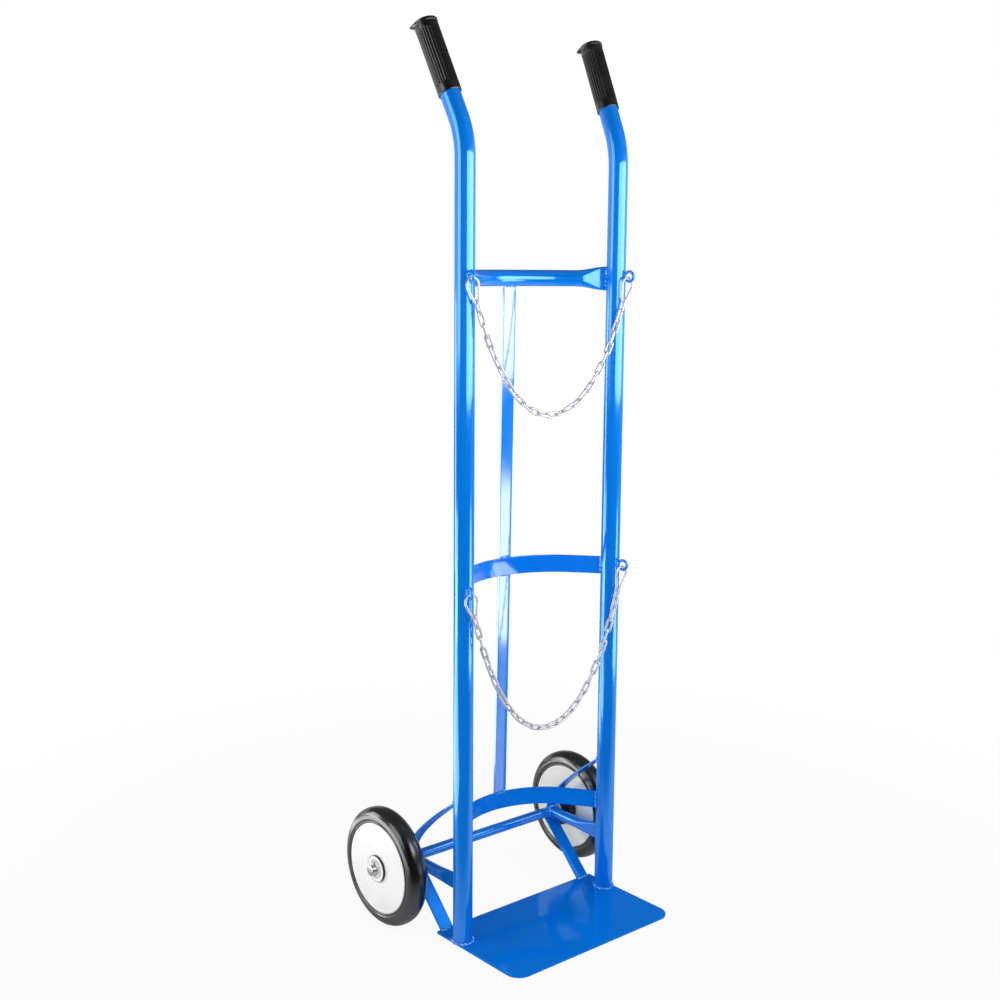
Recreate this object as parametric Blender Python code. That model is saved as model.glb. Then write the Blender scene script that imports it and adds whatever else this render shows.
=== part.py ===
"""A gas cylinder cart: two bent tube uprights on a toe plate, bowed cradles, two wheels and two chains.

Metres, +Z up. The toe plate points to -Y and the wheels are at +Y. The origin is on the toe plate's
underside, below the middle of the line between the two uprights. Left is -X.
"""

import math

import bmesh
import bpy
from mathutils import Matrix, Vector

# Clearances
SEAT_GAP = 0.0003
RUNNING_GAP = 0.0003

# Uprights and their handle ends
UPRIGHT_SPACING = 0.322
UPRIGHT_OD = 0.032
UPRIGHT_WALL = 0.002
BEND_HEIGHT = 1.282
BEND_RADIUS = 0.140
HANDLE_LEAN = math.radians(26)
HANDLE_LENGTH = 0.1872
HANDLE_SPLAY = math.radians(8)

# Grips
GRIP_OD = 0.0366
GRIP_LENGTH = 0.122
GRIP_CAP = 0.004
GRIP_DOME = 0.0025
GRIP_FLARE = 0.005
GRIP_FLARE_LENGTH = 0.010

# Toe plate
PLATE_WIDTH = 0.350
PLATE_FRONT = 0.152
PLATE_REAR = 0.0514
PLATE_THICKNESS = 0.004
PLATE_FRONT_CORNER = 0.025
PLATE_REAR_CORNER = 0.002

# Bowed crosspieces
BOW_LEG = 0.0667
CROSSBAR_HEIGHT = 1.073
CROSSBAR_OD = 0.027
CROSSBAR_WALL = 0.002
CROSSBAR_SAG = 0.1025
CRUSH_SLIT = 0.0012
CRADLE_BAR_HEIGHT = 0.030
CRADLE_BAR_THICKNESS = 0.005
MIDDLE_CRADLE_HEIGHT = 0.588
LOWER_CRADLE_HEIGHT = 0.164
LOWER_CRADLE_SAG = 0.118

# Back strap
STRAP_WIDTH = 0.025
STRAP_THICKNESS = 0.005
STRAP_OFFSET = 0.016

# Axle and its stays
AXLE_D = 0.018
AXLE_BACK = 0.140
AXLE_CHAMFER = 0.001
AXLE_END_PAST_PIN = 0.007
STAY_OD = 0.020
STAY_WALL = 0.002
STAY_CRUSH = 0.062
STAY_SADDLE = 0.004
FLAT_STAY_THICKNESS = 0.003
UPPER_STAY_WIDTH = 0.022
UPPER_STAY_HEIGHT = 0.2355
UPPER_STAY_SLOPE = math.radians(36.5)
UPPER_STAY_LEAD = 0.073
UPPER_STAY_FALL = 0.0374
UPPER_STAY_LEAN = math.radians(11)
LOWER_STAY_WIDTH = 0.025
LOWER_STAY_INSET = 0.0055
LOWER_STAY_EDGE = 0.0003
LOWER_STAY_SLOPE = math.radians(45)

# Wheels
WHEEL_RADIUS = 0.100
TYRE_WIDTH = 0.038
TREAD_WIDTH = 0.004
TYRE_SHOULDER_DROP = 0.018
TYRE_BORE_RADIUS = 0.060
DISC_RADIUS = 0.0763
DISC_SHEET = 0.002
DISC_FACE = 0.018
DISC_EDGE_CHAMFER = 0.001
BOSS_RADIUS = 0.0225
BOSS_HEIGHT = 0.004
BOSS_TAPER = 0.001
HUB_CORE_RADIUS = 0.017
HUB_BOSS_RADIUS = 0.031
HUB_BOSS_LENGTH = 0.0209
HUB_BOSS_CHAMFER = 0.002
INNER_WASHER_THICKNESS = 0.0016
INNER_WASHER_OD = 0.030
OUTER_WASHER_THICKNESS = 0.002
OUTER_WASHER_OD = 0.030
PIN_D = 0.0032
PIN_LEG = 0.014
PIN_LEG_BEND = 0.005
PIN_EYE_RADIUS = 0.004
PIN_EYE_CURL = math.radians(290)

# Chain eyes
EYE_ROD_D = 0.0048
EYE_MEAN_RADIUS = 0.0080
EYE_REACH = 0.0245
EYE_TURN = math.radians(16)
UPPER_EYE_HEIGHT = 1.0765
LOWER_EYE_HEIGHT = 0.591

# Chains and their pear-shaped end links
CHAIN_WIRE = 0.0038
CHAIN_PITCH = 0.0188
CHAIN_LINK_WIDTH = 0.0118
CHAIN_FUSE = 0.0008
CHAIN_REST_TURN = math.radians(45)
CHAIN_TURN_LINKS = 4
UPPER_CHAIN_LINKS = 27
LOWER_CHAIN_LINKS = 30
PEAR_LENGTH = 0.0395
PEAR_TOP_RADIUS = 0.0115
PEAR_BOTTOM_RADIUS = 0.0045
PEAR_CLEARANCE = 0.0013

# Facets of the round pieces
TUBE_SIDES = 16
CROSSBAR_SIDES = 14
STAY_SIDES = 12
ROD_SIDES = 24
WHEEL_STEPS = 32
SHOULDER_STEPS = 6
BEND_STEPS = 8
CRUSH_STEPS = 5
BOW_STEPS = 7
STAY_STEPS = 9
CORNER_STEPS = 6
DOME_STEPS = 4
EYE_STEPS = 12
LINK_STEPS = 4
PEAR_STEPS = 8
CHAIN_SIDES = 5
RING_SIDES = 8
CUTTER_SIDES = 48

# Places that follow from the sizes
SIDES = (("left", -1), ("right", 1))
HALF_SPACING = UPRIGHT_SPACING / 2
UPRIGHT_REACH = UPRIGHT_OD / 2 + SEAT_GAP
AXLE_HEIGHT = WHEEL_RADIUS
AXLE_REACH = AXLE_D / 2 + SEAT_GAP
HUB_BORE_RADIUS = AXLE_D / 2 + RUNNING_GAP
INNER_WASHER_X = HALF_SPACING + max(STAY_OD, UPPER_STAY_WIDTH) / 2 + SEAT_GAP
HUB_INNER_X = INNER_WASHER_X + INNER_WASHER_THICKNESS + RUNNING_GAP
WHEEL_X = HUB_INNER_X + HUB_BOSS_LENGTH + SEAT_GAP + DISC_FACE
OUTER_WASHER_X = WHEEL_X + DISC_FACE + BOSS_HEIGHT + RUNNING_GAP
PIN_X = OUTER_WASHER_X + OUTER_WASHER_THICKNESS + SEAT_GAP + PIN_D / 2
AXLE_END_X = PIN_X + AXLE_END_PAST_PIN
CROWN_DROP = EYE_MEAN_RADIUS - EYE_ROD_D / 2 - CHAIN_WIRE / 2 - PEAR_CLEARANCE

# Looks, as colour, roughness and metallic value
BLUE_PAINT = ((0.010, 0.115, 0.620), 0.22, 0.0)
ZINC = ((0.720, 0.720, 0.700), 0.30, 1.0)
TYRE_RUBBER = ((0.018, 0.018, 0.020), 0.42, 0.0)
GRIP_RUBBER = ((0.014, 0.014, 0.016), 0.50, 0.0)
WHITE_PAINT = ((0.860, 0.860, 0.850), 0.35, 0.0)
CREAM_PAINT = ((0.760, 0.720, 0.590), 0.40, 0.0)
BLACK_PLASTIC = ((0.016, 0.016, 0.017), 0.45, 0.0)
SMOOTH_ANGLE = math.radians(35)


def clear_scene():
    """Takes every object out of the file."""
    for item in list(bpy.data.objects):
        bpy.data.objects.remove(item, do_unlink=True)


def empty(name, location):
    """An empty that marks a joint's axis."""
    item = bpy.data.objects.new(name, None)
    item.location = location
    bpy.context.scene.collection.objects.link(item)
    return item


def node(name, bm, look, matrix=None, parent=None):
    """One named piece from a bmesh, with its own material, placed by matrix under its parent, if any."""
    bmesh.ops.recalc_face_normals(bm, faces=bm.faces)
    mesh = bpy.data.meshes.new(name)
    bm.to_mesh(mesh)
    bm.free()
    mesh.shade_smooth()
    mesh.set_sharp_from_angle(angle=SMOOTH_ANGLE)
    colour, roughness, metallic = look
    material = bpy.data.materials.new(name)
    material.use_nodes = True
    shader = material.node_tree.nodes["Principled BSDF"]
    shader.inputs["Base Color"].default_value = (*colour, 1.0)
    shader.inputs["Roughness"].default_value = roughness
    shader.inputs["Metallic"].default_value = metallic
    mesh.materials.append(material)
    item = bpy.data.objects.new(name, mesh)
    item.parent = parent
    item.matrix_local = matrix or Matrix.Identity(4)
    bpy.context.scene.collection.objects.link(item)
    return item


def helper(name, bm, matrix=None):
    """A closed shape that another piece is cut by or joined with, left out of the object."""
    item = node(name, bm, ZINC, matrix)
    item.hide_render = True
    item.display_type = "WIRE"
    return item


def combine(item, other, operation):
    """Cuts item by other, or joins other to it."""
    modifier = item.modifiers.new(operation.lower(), "BOOLEAN")
    modifier.operation = operation
    modifier.solver = "EXACT"
    modifier.object = other


def skin(rings, loop=False):
    """A closed surface through rings of points: capped at both ends, or joined from the last to the first."""
    bm = bmesh.new()
    add_skin(bm, rings, loop)
    return bm


def add_skin(bm, rings, loop):
    """Adds one such surface to a bmesh."""
    rows = [[bm.verts.new(point) for point in ring] for ring in rings]
    pairs = list(zip(rows, rows[1:]))
    if loop:
        pairs.append((rows[-1], rows[0]))
    else:
        bm.faces.new(rows[0])
        bm.faces.new(rows[-1])
    for row, after in pairs:
        for k, corner in enumerate(row):
            j = (k + 1) % len(row)
            bm.faces.new((corner, row[j], after[j], after[k]))


def turned(profile, steps, closed=True):
    """An outline of (radius, height) points turned about Z; an open outline starts and ends on the axis.

    The turning starts at +Y."""
    bm = bmesh.new()
    verts = [bm.verts.new((0, radius, height)) for radius, height in profile]
    ends = list(zip(verts, verts[1:]))
    if closed:
        ends.append((verts[-1], verts[0]))
    edges = [bm.edges.new(pair) for pair in ends]
    bmesh.ops.spin(
        bm, geom=verts + edges, axis=(0, 0, 1), cent=(0, 0, 0), steps=steps, angle=2 * math.pi, use_merge=True
    )
    bmesh.ops.remove_doubles(bm, verts=bm.verts, dist=1e-6)
    return bm


def cylinder(radius, length, sides):
    """A plain cylinder along Z, centred on the origin."""
    bm = bmesh.new()
    bmesh.ops.create_cone(
        bm, cap_ends=True, segments=sides, radius1=radius, radius2=radius, depth=length
    )
    return bm


def arc(centre, radius, start, end, steps):
    """Points along an arc in a plane, both ends included."""
    turns = [start + (end - start) * k / steps for k in range(steps + 1)]
    return [(centre[0] + radius * math.cos(t), centre[1] + radius * math.sin(t)) for t in turns]


def wire_rings(points, normal, radius, sides, loop):
    """Round rings along a path that lies in a plane with the given normal."""
    rings = []
    count = len(points)
    for k, point in enumerate(points):
        before = points[k - 1] if loop or k else point
        after = points[(k + 1) % count] if loop or k + 1 < count else point
        side = (after - before).normalized().cross(normal)
        turns = [2 * math.pi * n / sides for n in range(sides)]
        rings.append([point + radius * (math.cos(t) * side + math.sin(t) * normal) for t in turns])
    return rings


def oval(width, height, sides):
    """A flat-sided oval: a circle of the width, drawn apart to the height."""
    points = []
    for k in range(sides):
        turn = 2 * math.pi * (k + 0.5) / sides
        lift = math.copysign((height - width) / 2, math.sin(turn))
        points.append((width / 2 * math.cos(turn), width / 2 * math.sin(turn) + lift))
    return points


def crushed_tube(stations, outside, wall, sides):
    """A tube along stations of (point, sideways direction, roundness), standing flat where roundness is 0.

    The wall's length round the tube stays the same as it is crushed."""
    outer = []
    inner = []
    flat = 2 * wall + CRUSH_SLIT
    for point, sideways, roundness in stations:
        width = flat + (outside - flat) * roundness
        height = width + math.pi * (outside - width) / 2
        for rings, inset in ((outer, 0), (inner, 2 * wall)):
            section = oval(width - inset, height - inset, sides)
            rings.append([point + sideways * x + Vector((0, 0, z)) for x, z in section])
    return skin(outer + inner[::-1], loop=True)


def eased(share):
    """A share from 0 to 1, held to those limits and eased at both ends."""
    held = min(max(share, 0), 1)
    return held * held * (3 - 2 * held)


def bow_turn(sag):
    """The angle, from +X, at which the right leg of a crosspiece with this sag meets its arc."""
    low, high = 0, math.pi / 2
    for _ in range(60):
        turn = (low + high) / 2
        tangent = HALF_SPACING - BOW_LEG * math.sin(turn)
        reached = BOW_LEG * math.cos(turn) + tangent * (1 - math.sin(turn)) / math.cos(turn)
        low, high = (turn, high) if reached > sag else (low, turn)
    return low


def bow_radius(sag):
    """The radius of that arc."""
    turn = bow_turn(sag)
    return (HALF_SPACING - BOW_LEG * math.sin(turn)) / math.cos(turn)


def bow_depth(sag, x):
    """How far behind the uprights the arc lies at x."""
    radius = bow_radius(sag)
    return sag - radius + math.sqrt(radius * radius - x * x)


def bow(sag, height, leg_marks, arc_steps):
    """A crosspiece's line from the left upright to the right one, as (point, sideways direction) pairs.

    Straight legs point at the uprights' axes and run tangent into an arc; leg_marks are distances
    along a leg from the upright's surface."""
    turn = bow_turn(sag)
    radius = bow_radius(sag)
    places = []
    for mark in leg_marks:
        along = UPRIGHT_REACH + mark
        places.append((HALF_SPACING - along * math.sin(turn), along * math.cos(turn), turn))
    for x, y in arc((0, sag - radius), radius, turn, math.pi / 2, arc_steps):
        places.append((x, y, math.atan2(y - sag + radius, x)))
    right = [(Vector((x, y, height)), Vector((math.cos(t), math.sin(t), 0))) for x, y, t in places]
    mirror = Vector((-1, 1, 1))
    left = [(point * mirror, sideways * mirror) for point, sideways in right[:-1]]
    return left + right[::-1]


def build_uprights():
    """Two tubes, each straight up from the toe plate and bent back and a little outwards at the top."""
    bottom = PLATE_THICKNESS + SEAT_GAP
    tangent = BEND_RADIUS * math.tan(HANDLE_LEAN / 2)
    bend = arc((BEND_RADIUS, BEND_HEIGHT - tangent), BEND_RADIUS, math.pi, math.pi - HANDLE_LEAN, BEND_STEPS)
    handle = Vector((0, math.sin(HANDLE_LEAN), math.cos(HANDLE_LEAN)))
    line = [Vector((0, 0, bottom))]
    line += [Vector((0, y, z)) for y, z in bend]
    line.append(Vector((0, 0, BEND_HEIGHT)) + handle * HANDLE_LENGTH)
    across = Vector((1, 0, 0))
    for name, sign in SIDES:
        outer = wire_rings(line, across, UPRIGHT_OD / 2, TUBE_SIDES, False)
        inner = wire_rings(line, across, UPRIGHT_OD / 2 - UPRIGHT_WALL, TUBE_SIDES, False)
        place = Matrix.Translation((sign * HALF_SPACING, 0, 0))
        place = place @ Matrix.Rotation(-sign * HANDLE_SPLAY, 4, "Z")
        node(f"{name}_upright", skin(outer + inner[::-1], loop=True), BLUE_PAINT, place)


def build_grips():
    """Closed rubber sleeves on the handle ends, with a domed top that flares out at the back."""
    depth = GRIP_LENGTH - GRIP_CAP
    radius = GRIP_OD / 2
    rim = GRIP_LENGTH - GRIP_DOME
    levels = [(depth, UPRIGHT_REACH, 0), (0, UPRIGHT_REACH, 0), (0, radius, 0)]
    for share in [k / DOME_STEPS for k in range(DOME_STEPS + 1)]:
        out = GRIP_FLARE / 2 * share * share
        levels.append((rim - GRIP_FLARE_LENGTH * (1 - share), radius + out, out))
    for turn in [math.pi / 2 * k / DOME_STEPS for k in range(1, DOME_STEPS)]:
        share = math.cos(turn)
        height = rim + GRIP_DOME * math.sin(turn)
        levels.append((height, share * (radius + GRIP_FLARE / 2), share * GRIP_FLARE / 2))
    rings = []
    for height, reach, back in levels:
        circle = arc((0, back), reach, 0, 2 * math.pi, TUBE_SIDES)[:-1]
        rings.append([(x, y, height) for x, y in circle])
    start = HANDLE_LENGTH + SEAT_GAP - depth
    for name, sign in SIDES:
        place = Matrix.Translation((sign * HALF_SPACING, 0, BEND_HEIGHT))
        place = place @ Matrix.Rotation(-sign * HANDLE_SPLAY, 4, "Z")
        place = place @ Matrix.Rotation(-HANDLE_LEAN, 4, "X") @ Matrix.Translation((0, 0, start))
        node(f"{name}_grip", skin(rings), GRIP_RUBBER, place)


def build_toe_plate():
    """A flat plate with large front corners, under the uprights and in front of them."""
    half = PLATE_WIDTH / 2
    front = PLATE_FRONT_CORNER
    rear = PLATE_REAR_CORNER
    quarter = math.pi / 2
    outline = arc((half - rear, PLATE_REAR - rear), rear, 0, quarter, CORNER_STEPS // 2)
    outline += arc((rear - half, PLATE_REAR - rear), rear, quarter, 2 * quarter, CORNER_STEPS // 2)
    outline += arc((front - half, front - PLATE_FRONT), front, 2 * quarter, 3 * quarter, CORNER_STEPS)
    outline += arc((half - front, front - PLATE_FRONT), front, 3 * quarter, 4 * quarter, CORNER_STEPS)
    levels = (0, PLATE_THICKNESS)
    node("toe_plate", skin([[(x, y, z) for x, y in outline] for z in levels]), BLUE_PAINT)


def build_crossbar():
    """The top crosspiece: a round tube, crushed along its legs until it is flat at the uprights."""
    run = BOW_LEG - UPRIGHT_REACH
    marks = [run * k / CRUSH_STEPS for k in range(CRUSH_STEPS)]
    line = bow(CROSSBAR_SAG, CROSSBAR_HEIGHT, marks, BOW_STEPS)
    last = len(line) - 1
    stations = []
    for k, (point, sideways) in enumerate(line):
        end = line[0][0] if k <= last / 2 else line[last][0]
        stations.append((point, sideways, eased((point - end).length / run)))
    node("top_crossbar", crushed_tube(stations, CROSSBAR_OD, CROSSBAR_WALL, CROSSBAR_SIDES), BLUE_PAINT)


def strap_line():
    """The back strap's middle line: from the crossbar's underside down to the lower cradle's top edge."""
    top = Vector((
        STRAP_OFFSET,
        bow_depth(CROSSBAR_SAG, STRAP_OFFSET),
        CROSSBAR_HEIGHT - CROSSBAR_OD / 2 - SEAT_GAP,
    ))
    foot = Vector((
        STRAP_OFFSET,
        bow_depth(LOWER_CRADLE_SAG, STRAP_OFFSET),
        LOWER_CRADLE_HEIGHT + CRADLE_BAR_HEIGHT / 2 + SEAT_GAP,
    ))
    return top, foot


def middle_cradle_sag():
    """The middle cradle's sag: its rear face lies against the front of the strap."""
    top, foot = strap_line()
    level = MIDDLE_CRADLE_HEIGHT + CRADLE_BAR_HEIGHT / 2
    share = (top.z - level) / (top.z - foot.z)
    strap_front = top.y + (foot.y - top.y) * share - STRAP_THICKNESS / 2
    return strap_front - SEAT_GAP - CRADLE_BAR_THICKNESS / 2


def build_cradles():
    """Two flat bars on edge, bowed round the back of the cylinder."""
    cradles = (
        ("middle_cradle", middle_cradle_sag(), MIDDLE_CRADLE_HEIGHT),
        ("lower_cradle", LOWER_CRADLE_SAG, LOWER_CRADLE_HEIGHT),
    )
    corners = ((-1, -1), (1, -1), (1, 1), (-1, 1))
    for name, sag, height in cradles:
        rings = []
        for point, sideways in bow(sag, height, (0,), BOW_STEPS):
            across = sideways * CRADLE_BAR_THICKNESS / 2
            up = Vector((0, 0, CRADLE_BAR_HEIGHT / 2))
            rings.append([point + across * x + up * z for x, z in corners])
        node(name, skin(rings), BLUE_PAINT)


def build_back_strap():
    """A flat strap down the back, from the crossbar past the middle cradle to the lower one."""
    half = Vector((STRAP_WIDTH / 2, STRAP_THICKNESS / 2, 0))
    corners = ((-1, -1), (1, -1), (1, 1), (-1, 1))
    rings = [[end + Vector((half.x * x, half.y * y, 0)) for x, y in corners] for end in strap_line()]
    node("back_strap", skin(rings), BLUE_PAINT)


def build_axle():
    """One round bar through both wheels, with a cross hole near each end for a split pin."""
    radius = AXLE_D / 2
    neck = radius - AXLE_CHAMFER
    end = AXLE_END_X
    profile = [(0, -end), (neck, -end), (radius, AXLE_CHAMFER - end)]
    profile += [(radius, end - AXLE_CHAMFER), (neck, end), (0, end)]
    centre = Matrix.Translation((0, AXLE_BACK, AXLE_HEIGHT))
    lengthwise = Matrix.Rotation(math.pi / 2, 4, "Y")
    axle = node("axle", turned(profile, ROD_SIDES, closed=False), BLUE_PAINT, centre @ lengthwise)
    for name, sign in SIDES:
        hole = cylinder(PIN_D / 2 + SEAT_GAP, 2 * AXLE_D, CROSSBAR_SIDES)
        place = centre @ Matrix.Translation((sign * PIN_X, 0, 0))
        combine(axle, helper(f"{name}_pin_hole", hole, place), "DIFFERENCE")


def build_stay_tubes():
    """A short tube on each side, crushed where it meets the upright and cupped round the axle."""
    start = UPRIGHT_REACH
    end = AXLE_BACK - STAY_SADDLE
    marks = [start + STAY_CRUSH * k / CRUSH_STEPS for k in range(CRUSH_STEPS + 1)] + [end]
    cup = cylinder(AXLE_REACH, 2 * AXLE_END_X, CUTTER_SIDES)
    place = Matrix.Translation((0, AXLE_BACK, AXLE_HEIGHT)) @ Matrix.Rotation(math.pi / 2, 4, "Y")
    cutter = helper("axle_cup", cup, place)
    across = Vector((1, 0, 0))
    for name, sign in SIDES:
        stations = []
        for y in marks:
            point = Vector((sign * HALF_SPACING, y, AXLE_HEIGHT))
            stations.append((point, across, eased((y - start) / STAY_CRUSH)))
        tube = node(f"{name}_stay_tube", crushed_tube(stations, STAY_OD, STAY_WALL, STAY_SIDES), BLUE_PAINT)
        combine(tube, cutter, "DIFFERENCE")


def flat_stay(line, start_cut, end_cut, x, width):
    """A flat bar lying across X along a (y, z) line, its ends cut on planes given as (axis, value)."""
    half = FLAT_STAY_THICKNESS / 2
    rings = []
    last = len(line) - 1
    for k, point in enumerate(line):
        along = (line[min(k + 1, last)] - line[max(k - 1, 0)]).normalized()
        normal = Vector((-along.y, along.x))
        edges = [point - normal * half, point + normal * half]
        for place, (axis, value) in ((0, start_cut), (last, end_cut)):
            if k == place:
                edges = [edge + along * ((value - edge[axis]) / along[axis]) for edge in edges]
        wide = width / 2
        low, high = [tuple(edge) for edge in edges]
        rings.append([(x - wide, *low), (x + wide, *low), (x + wide, *high), (x - wide, *high)])
    return skin(rings)


def build_flat_stays():
    """The curved stay from each upright to the axle's top, and the sloped one from plate to stay tube."""
    top = Vector((UPRIGHT_REACH, UPPER_STAY_HEIGHT))
    lead = UPPER_STAY_LEAD * Vector((math.cos(UPPER_STAY_SLOPE), -math.sin(UPPER_STAY_SLOPE)))
    landing = Vector((AXLE_BACK, AXLE_HEIGHT + AXLE_REACH))
    fall = UPPER_STAY_FALL * Vector((-math.sin(UPPER_STAY_LEAN), math.cos(UPPER_STAY_LEAN)))
    upper = []
    for k in range(STAY_STEPS + 1):
        t = k / STAY_STEPS
        s = 1 - t
        upper.append(
            s**3 * top + 3 * s * s * t * (top + lead) + 3 * s * t * t * (landing + fall) + t**3 * landing
        )
    half_foot = FLAT_STAY_THICKNESS / 2 / math.sin(LOWER_STAY_SLOPE)
    foot = Vector((PLATE_REAR - LOWER_STAY_EDGE - half_foot, PLATE_THICKNESS + SEAT_GAP))
    underside = AXLE_HEIGHT - STAY_OD / 2 - SEAT_GAP
    run = (underside - foot.y) / math.tan(LOWER_STAY_SLOPE)
    lower = [foot, Vector((foot.x + run, underside))]
    for name, sign in SIDES:
        x = sign * HALF_SPACING
        bar = flat_stay(upper, (0, UPRIGHT_REACH), (1, landing.y), x, UPPER_STAY_WIDTH)
        node(f"{name}_upper_stay", bar, BLUE_PAINT)
        inner = x - sign * LOWER_STAY_INSET
        bar = flat_stay(lower, (1, foot.y), (1, underside), inner, LOWER_STAY_WIDTH)
        node(f"{name}_lower_stay", bar, BLUE_PAINT)


def tyre_profile():
    """The tyre's section as (radius, offset): rounded shoulders, and a tongue held between the discs."""
    half = TYRE_WIDTH / 2
    tread = TREAD_WIDTH / 2
    seat = DISC_RADIUS + SEAT_GAP
    tongue = DISC_FACE - DISC_SHEET - SEAT_GAP
    shoulder = []
    for turn in [math.pi / 2 * k / SHOULDER_STEPS for k in range(SHOULDER_STEPS + 1)]:
        radius = WHEEL_RADIUS - TYRE_SHOULDER_DROP * (1 - math.cos(turn))
        shoulder.append((radius, tread + (half - tread) * math.sin(turn)))
    side = shoulder + [(seat, DISC_FACE), (seat, tongue), (TYRE_BORE_RADIUS, tongue)]
    return side + [(radius, -offset) for radius, offset in side[::-1]]


def outer_disc_profile():
    """The outer disc's section: pressed sheet with a raised boss round the axle."""
    bore = HUB_BORE_RADIUS
    top = DISC_FACE + BOSS_HEIGHT
    inside = BOSS_RADIUS - DISC_SHEET
    return [
        (bore, top),
        (BOSS_RADIUS - BOSS_TAPER, top),
        (BOSS_RADIUS, DISC_FACE),
        (DISC_RADIUS - DISC_EDGE_CHAMFER, DISC_FACE),
        (DISC_RADIUS, DISC_FACE - DISC_EDGE_CHAMFER),
        (DISC_RADIUS, DISC_FACE - DISC_SHEET),
        (inside, DISC_FACE - DISC_SHEET),
        (inside - BOSS_TAPER, top - DISC_SHEET),
        (bore, top - DISC_SHEET),
    ]


def inner_disc_profile():
    """The inner disc's section: flat sheet with a hole for the hub's core."""
    hole = HUB_CORE_RADIUS + SEAT_GAP
    return [
        (hole, -DISC_FACE),
        (DISC_RADIUS - DISC_EDGE_CHAMFER, -DISC_FACE),
        (DISC_RADIUS, DISC_EDGE_CHAMFER - DISC_FACE),
        (DISC_RADIUS, DISC_SHEET - DISC_FACE),
        (hole, DISC_SHEET - DISC_FACE),
    ]


def hub_profile():
    """The hub's section: a core through both discs and a wide boss on the inner side."""
    boss_out = -DISC_FACE - SEAT_GAP
    boss_in = boss_out - HUB_BOSS_LENGTH
    core_end = DISC_FACE + BOSS_HEIGHT - DISC_SHEET - SEAT_GAP
    return [
        (HUB_BORE_RADIUS, boss_in),
        (HUB_BOSS_RADIUS - HUB_BOSS_CHAMFER, boss_in),
        (HUB_BOSS_RADIUS, boss_in + HUB_BOSS_CHAMFER),
        (HUB_BOSS_RADIUS, boss_out),
        (HUB_CORE_RADIUS, boss_out),
        (HUB_CORE_RADIUS, core_end),
        (HUB_BORE_RADIUS, core_end),
    ]


def washer_profile(outside, thickness):
    """A flat ring round the axle, standing outwards from its own inner face."""
    hole = AXLE_REACH
    return [(hole, 0), (outside / 2, 0), (outside / 2, thickness), (hole, thickness)]


def pin_line():
    """The split pin's line, in the plane across the axle: a bent leg, the shank and an eye at the top."""
    top = AXLE_D / 2 + PIN_EYE_RADIUS + PIN_D / 2
    line = [(PIN_LEG_BEND, -PIN_LEG), (0, PIN_LEG_BEND - PIN_LEG)]
    line += arc((PIN_EYE_RADIUS, top), PIN_EYE_RADIUS, math.pi, math.pi - PIN_EYE_CURL, PEAR_STEPS)
    return [Vector((0, y, z)) for y, z in line]


def build_wheels():
    """The two wheels, turned about the axle, with the washers and split pins that hold them on it."""
    pieces = (
        ("tyre", tyre_profile(), WHEEL_STEPS, TYRE_RUBBER),
        ("outer_disc", outer_disc_profile(), WHEEL_STEPS, WHITE_PAINT),
        ("inner_disc", inner_disc_profile(), WHEEL_STEPS, CREAM_PAINT),
        ("hub", hub_profile(), ROD_SIDES, BLACK_PLASTIC),
    )
    for name, sign in SIDES:
        outwards = Matrix.Rotation(sign * math.pi / 2, 4, "Y")
        spin = empty(f"{name}_wheel_spin", (sign * WHEEL_X, AXLE_BACK, AXLE_HEIGHT))
        for piece, profile, steps, look in pieces:
            node(f"{name}_{piece}", turned(profile, steps), look, outwards, spin)
        washers = (
            ("inner_washer", INNER_WASHER_X, INNER_WASHER_OD, INNER_WASHER_THICKNESS),
            ("outer_washer", OUTER_WASHER_X, OUTER_WASHER_OD, OUTER_WASHER_THICKNESS),
        )
        for piece, x, outside, thickness in washers:
            place = Matrix.Translation((sign * x, AXLE_BACK, AXLE_HEIGHT)) @ outwards
            node(f"{name}_{piece}", turned(washer_profile(outside, thickness), ROD_SIDES), ZINC, place)
        rings = wire_rings(pin_line(), Vector((1, 0, 0)), PIN_D / 2, RING_SIDES, False)
        place = Matrix.Translation((sign * PIN_X, AXLE_BACK, AXLE_HEIGHT))
        node(f"{name}_split_pin", skin(rings), ZINC, place)


def eye_centre(sign, height):
    """The middle of a chain eye's hole, in front of an upright and turned a little outwards."""
    x = sign * (HALF_SPACING + EYE_REACH * math.sin(EYE_TURN))
    return Vector((x, -EYE_REACH * math.cos(EYE_TURN), height))


def build_eyes():
    """Rod rings on the fronts of the uprights, cupped to the tube."""
    section = arc((EYE_MEAN_RADIUS, 0), EYE_ROD_D / 2, 0, 2 * math.pi, RING_SIDES)[:-1]
    for name, sign in SIDES:
        cup = cylinder(UPRIGHT_REACH, BEND_HEIGHT, CUTTER_SIDES)
        place = Matrix.Translation((sign * HALF_SPACING, 0, BEND_HEIGHT / 2))
        cutter = helper(f"{name}_upright_cup", cup, place)
        for level, height in (("upper", UPPER_EYE_HEIGHT), ("lower", LOWER_EYE_HEIGHT)):
            place = Matrix.Translation(eye_centre(sign, height))
            place = place @ Matrix.Rotation(sign * EYE_TURN, 4, "Z") @ Matrix.Rotation(math.pi / 2, 4, "Y")
            ring = node(f"{level}_{name}_eye", turned(section, EYE_STEPS), BLUE_PAINT, place)
            combine(ring, cutter, "DIFFERENCE")


def pear_reach():
    """From an end link's crown to the point where it and the first chain link share their pull."""
    return PEAR_LENGTH - CHAIN_WIRE / 2 - SEAT_GAP - CHAIN_FUSE / 2


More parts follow.
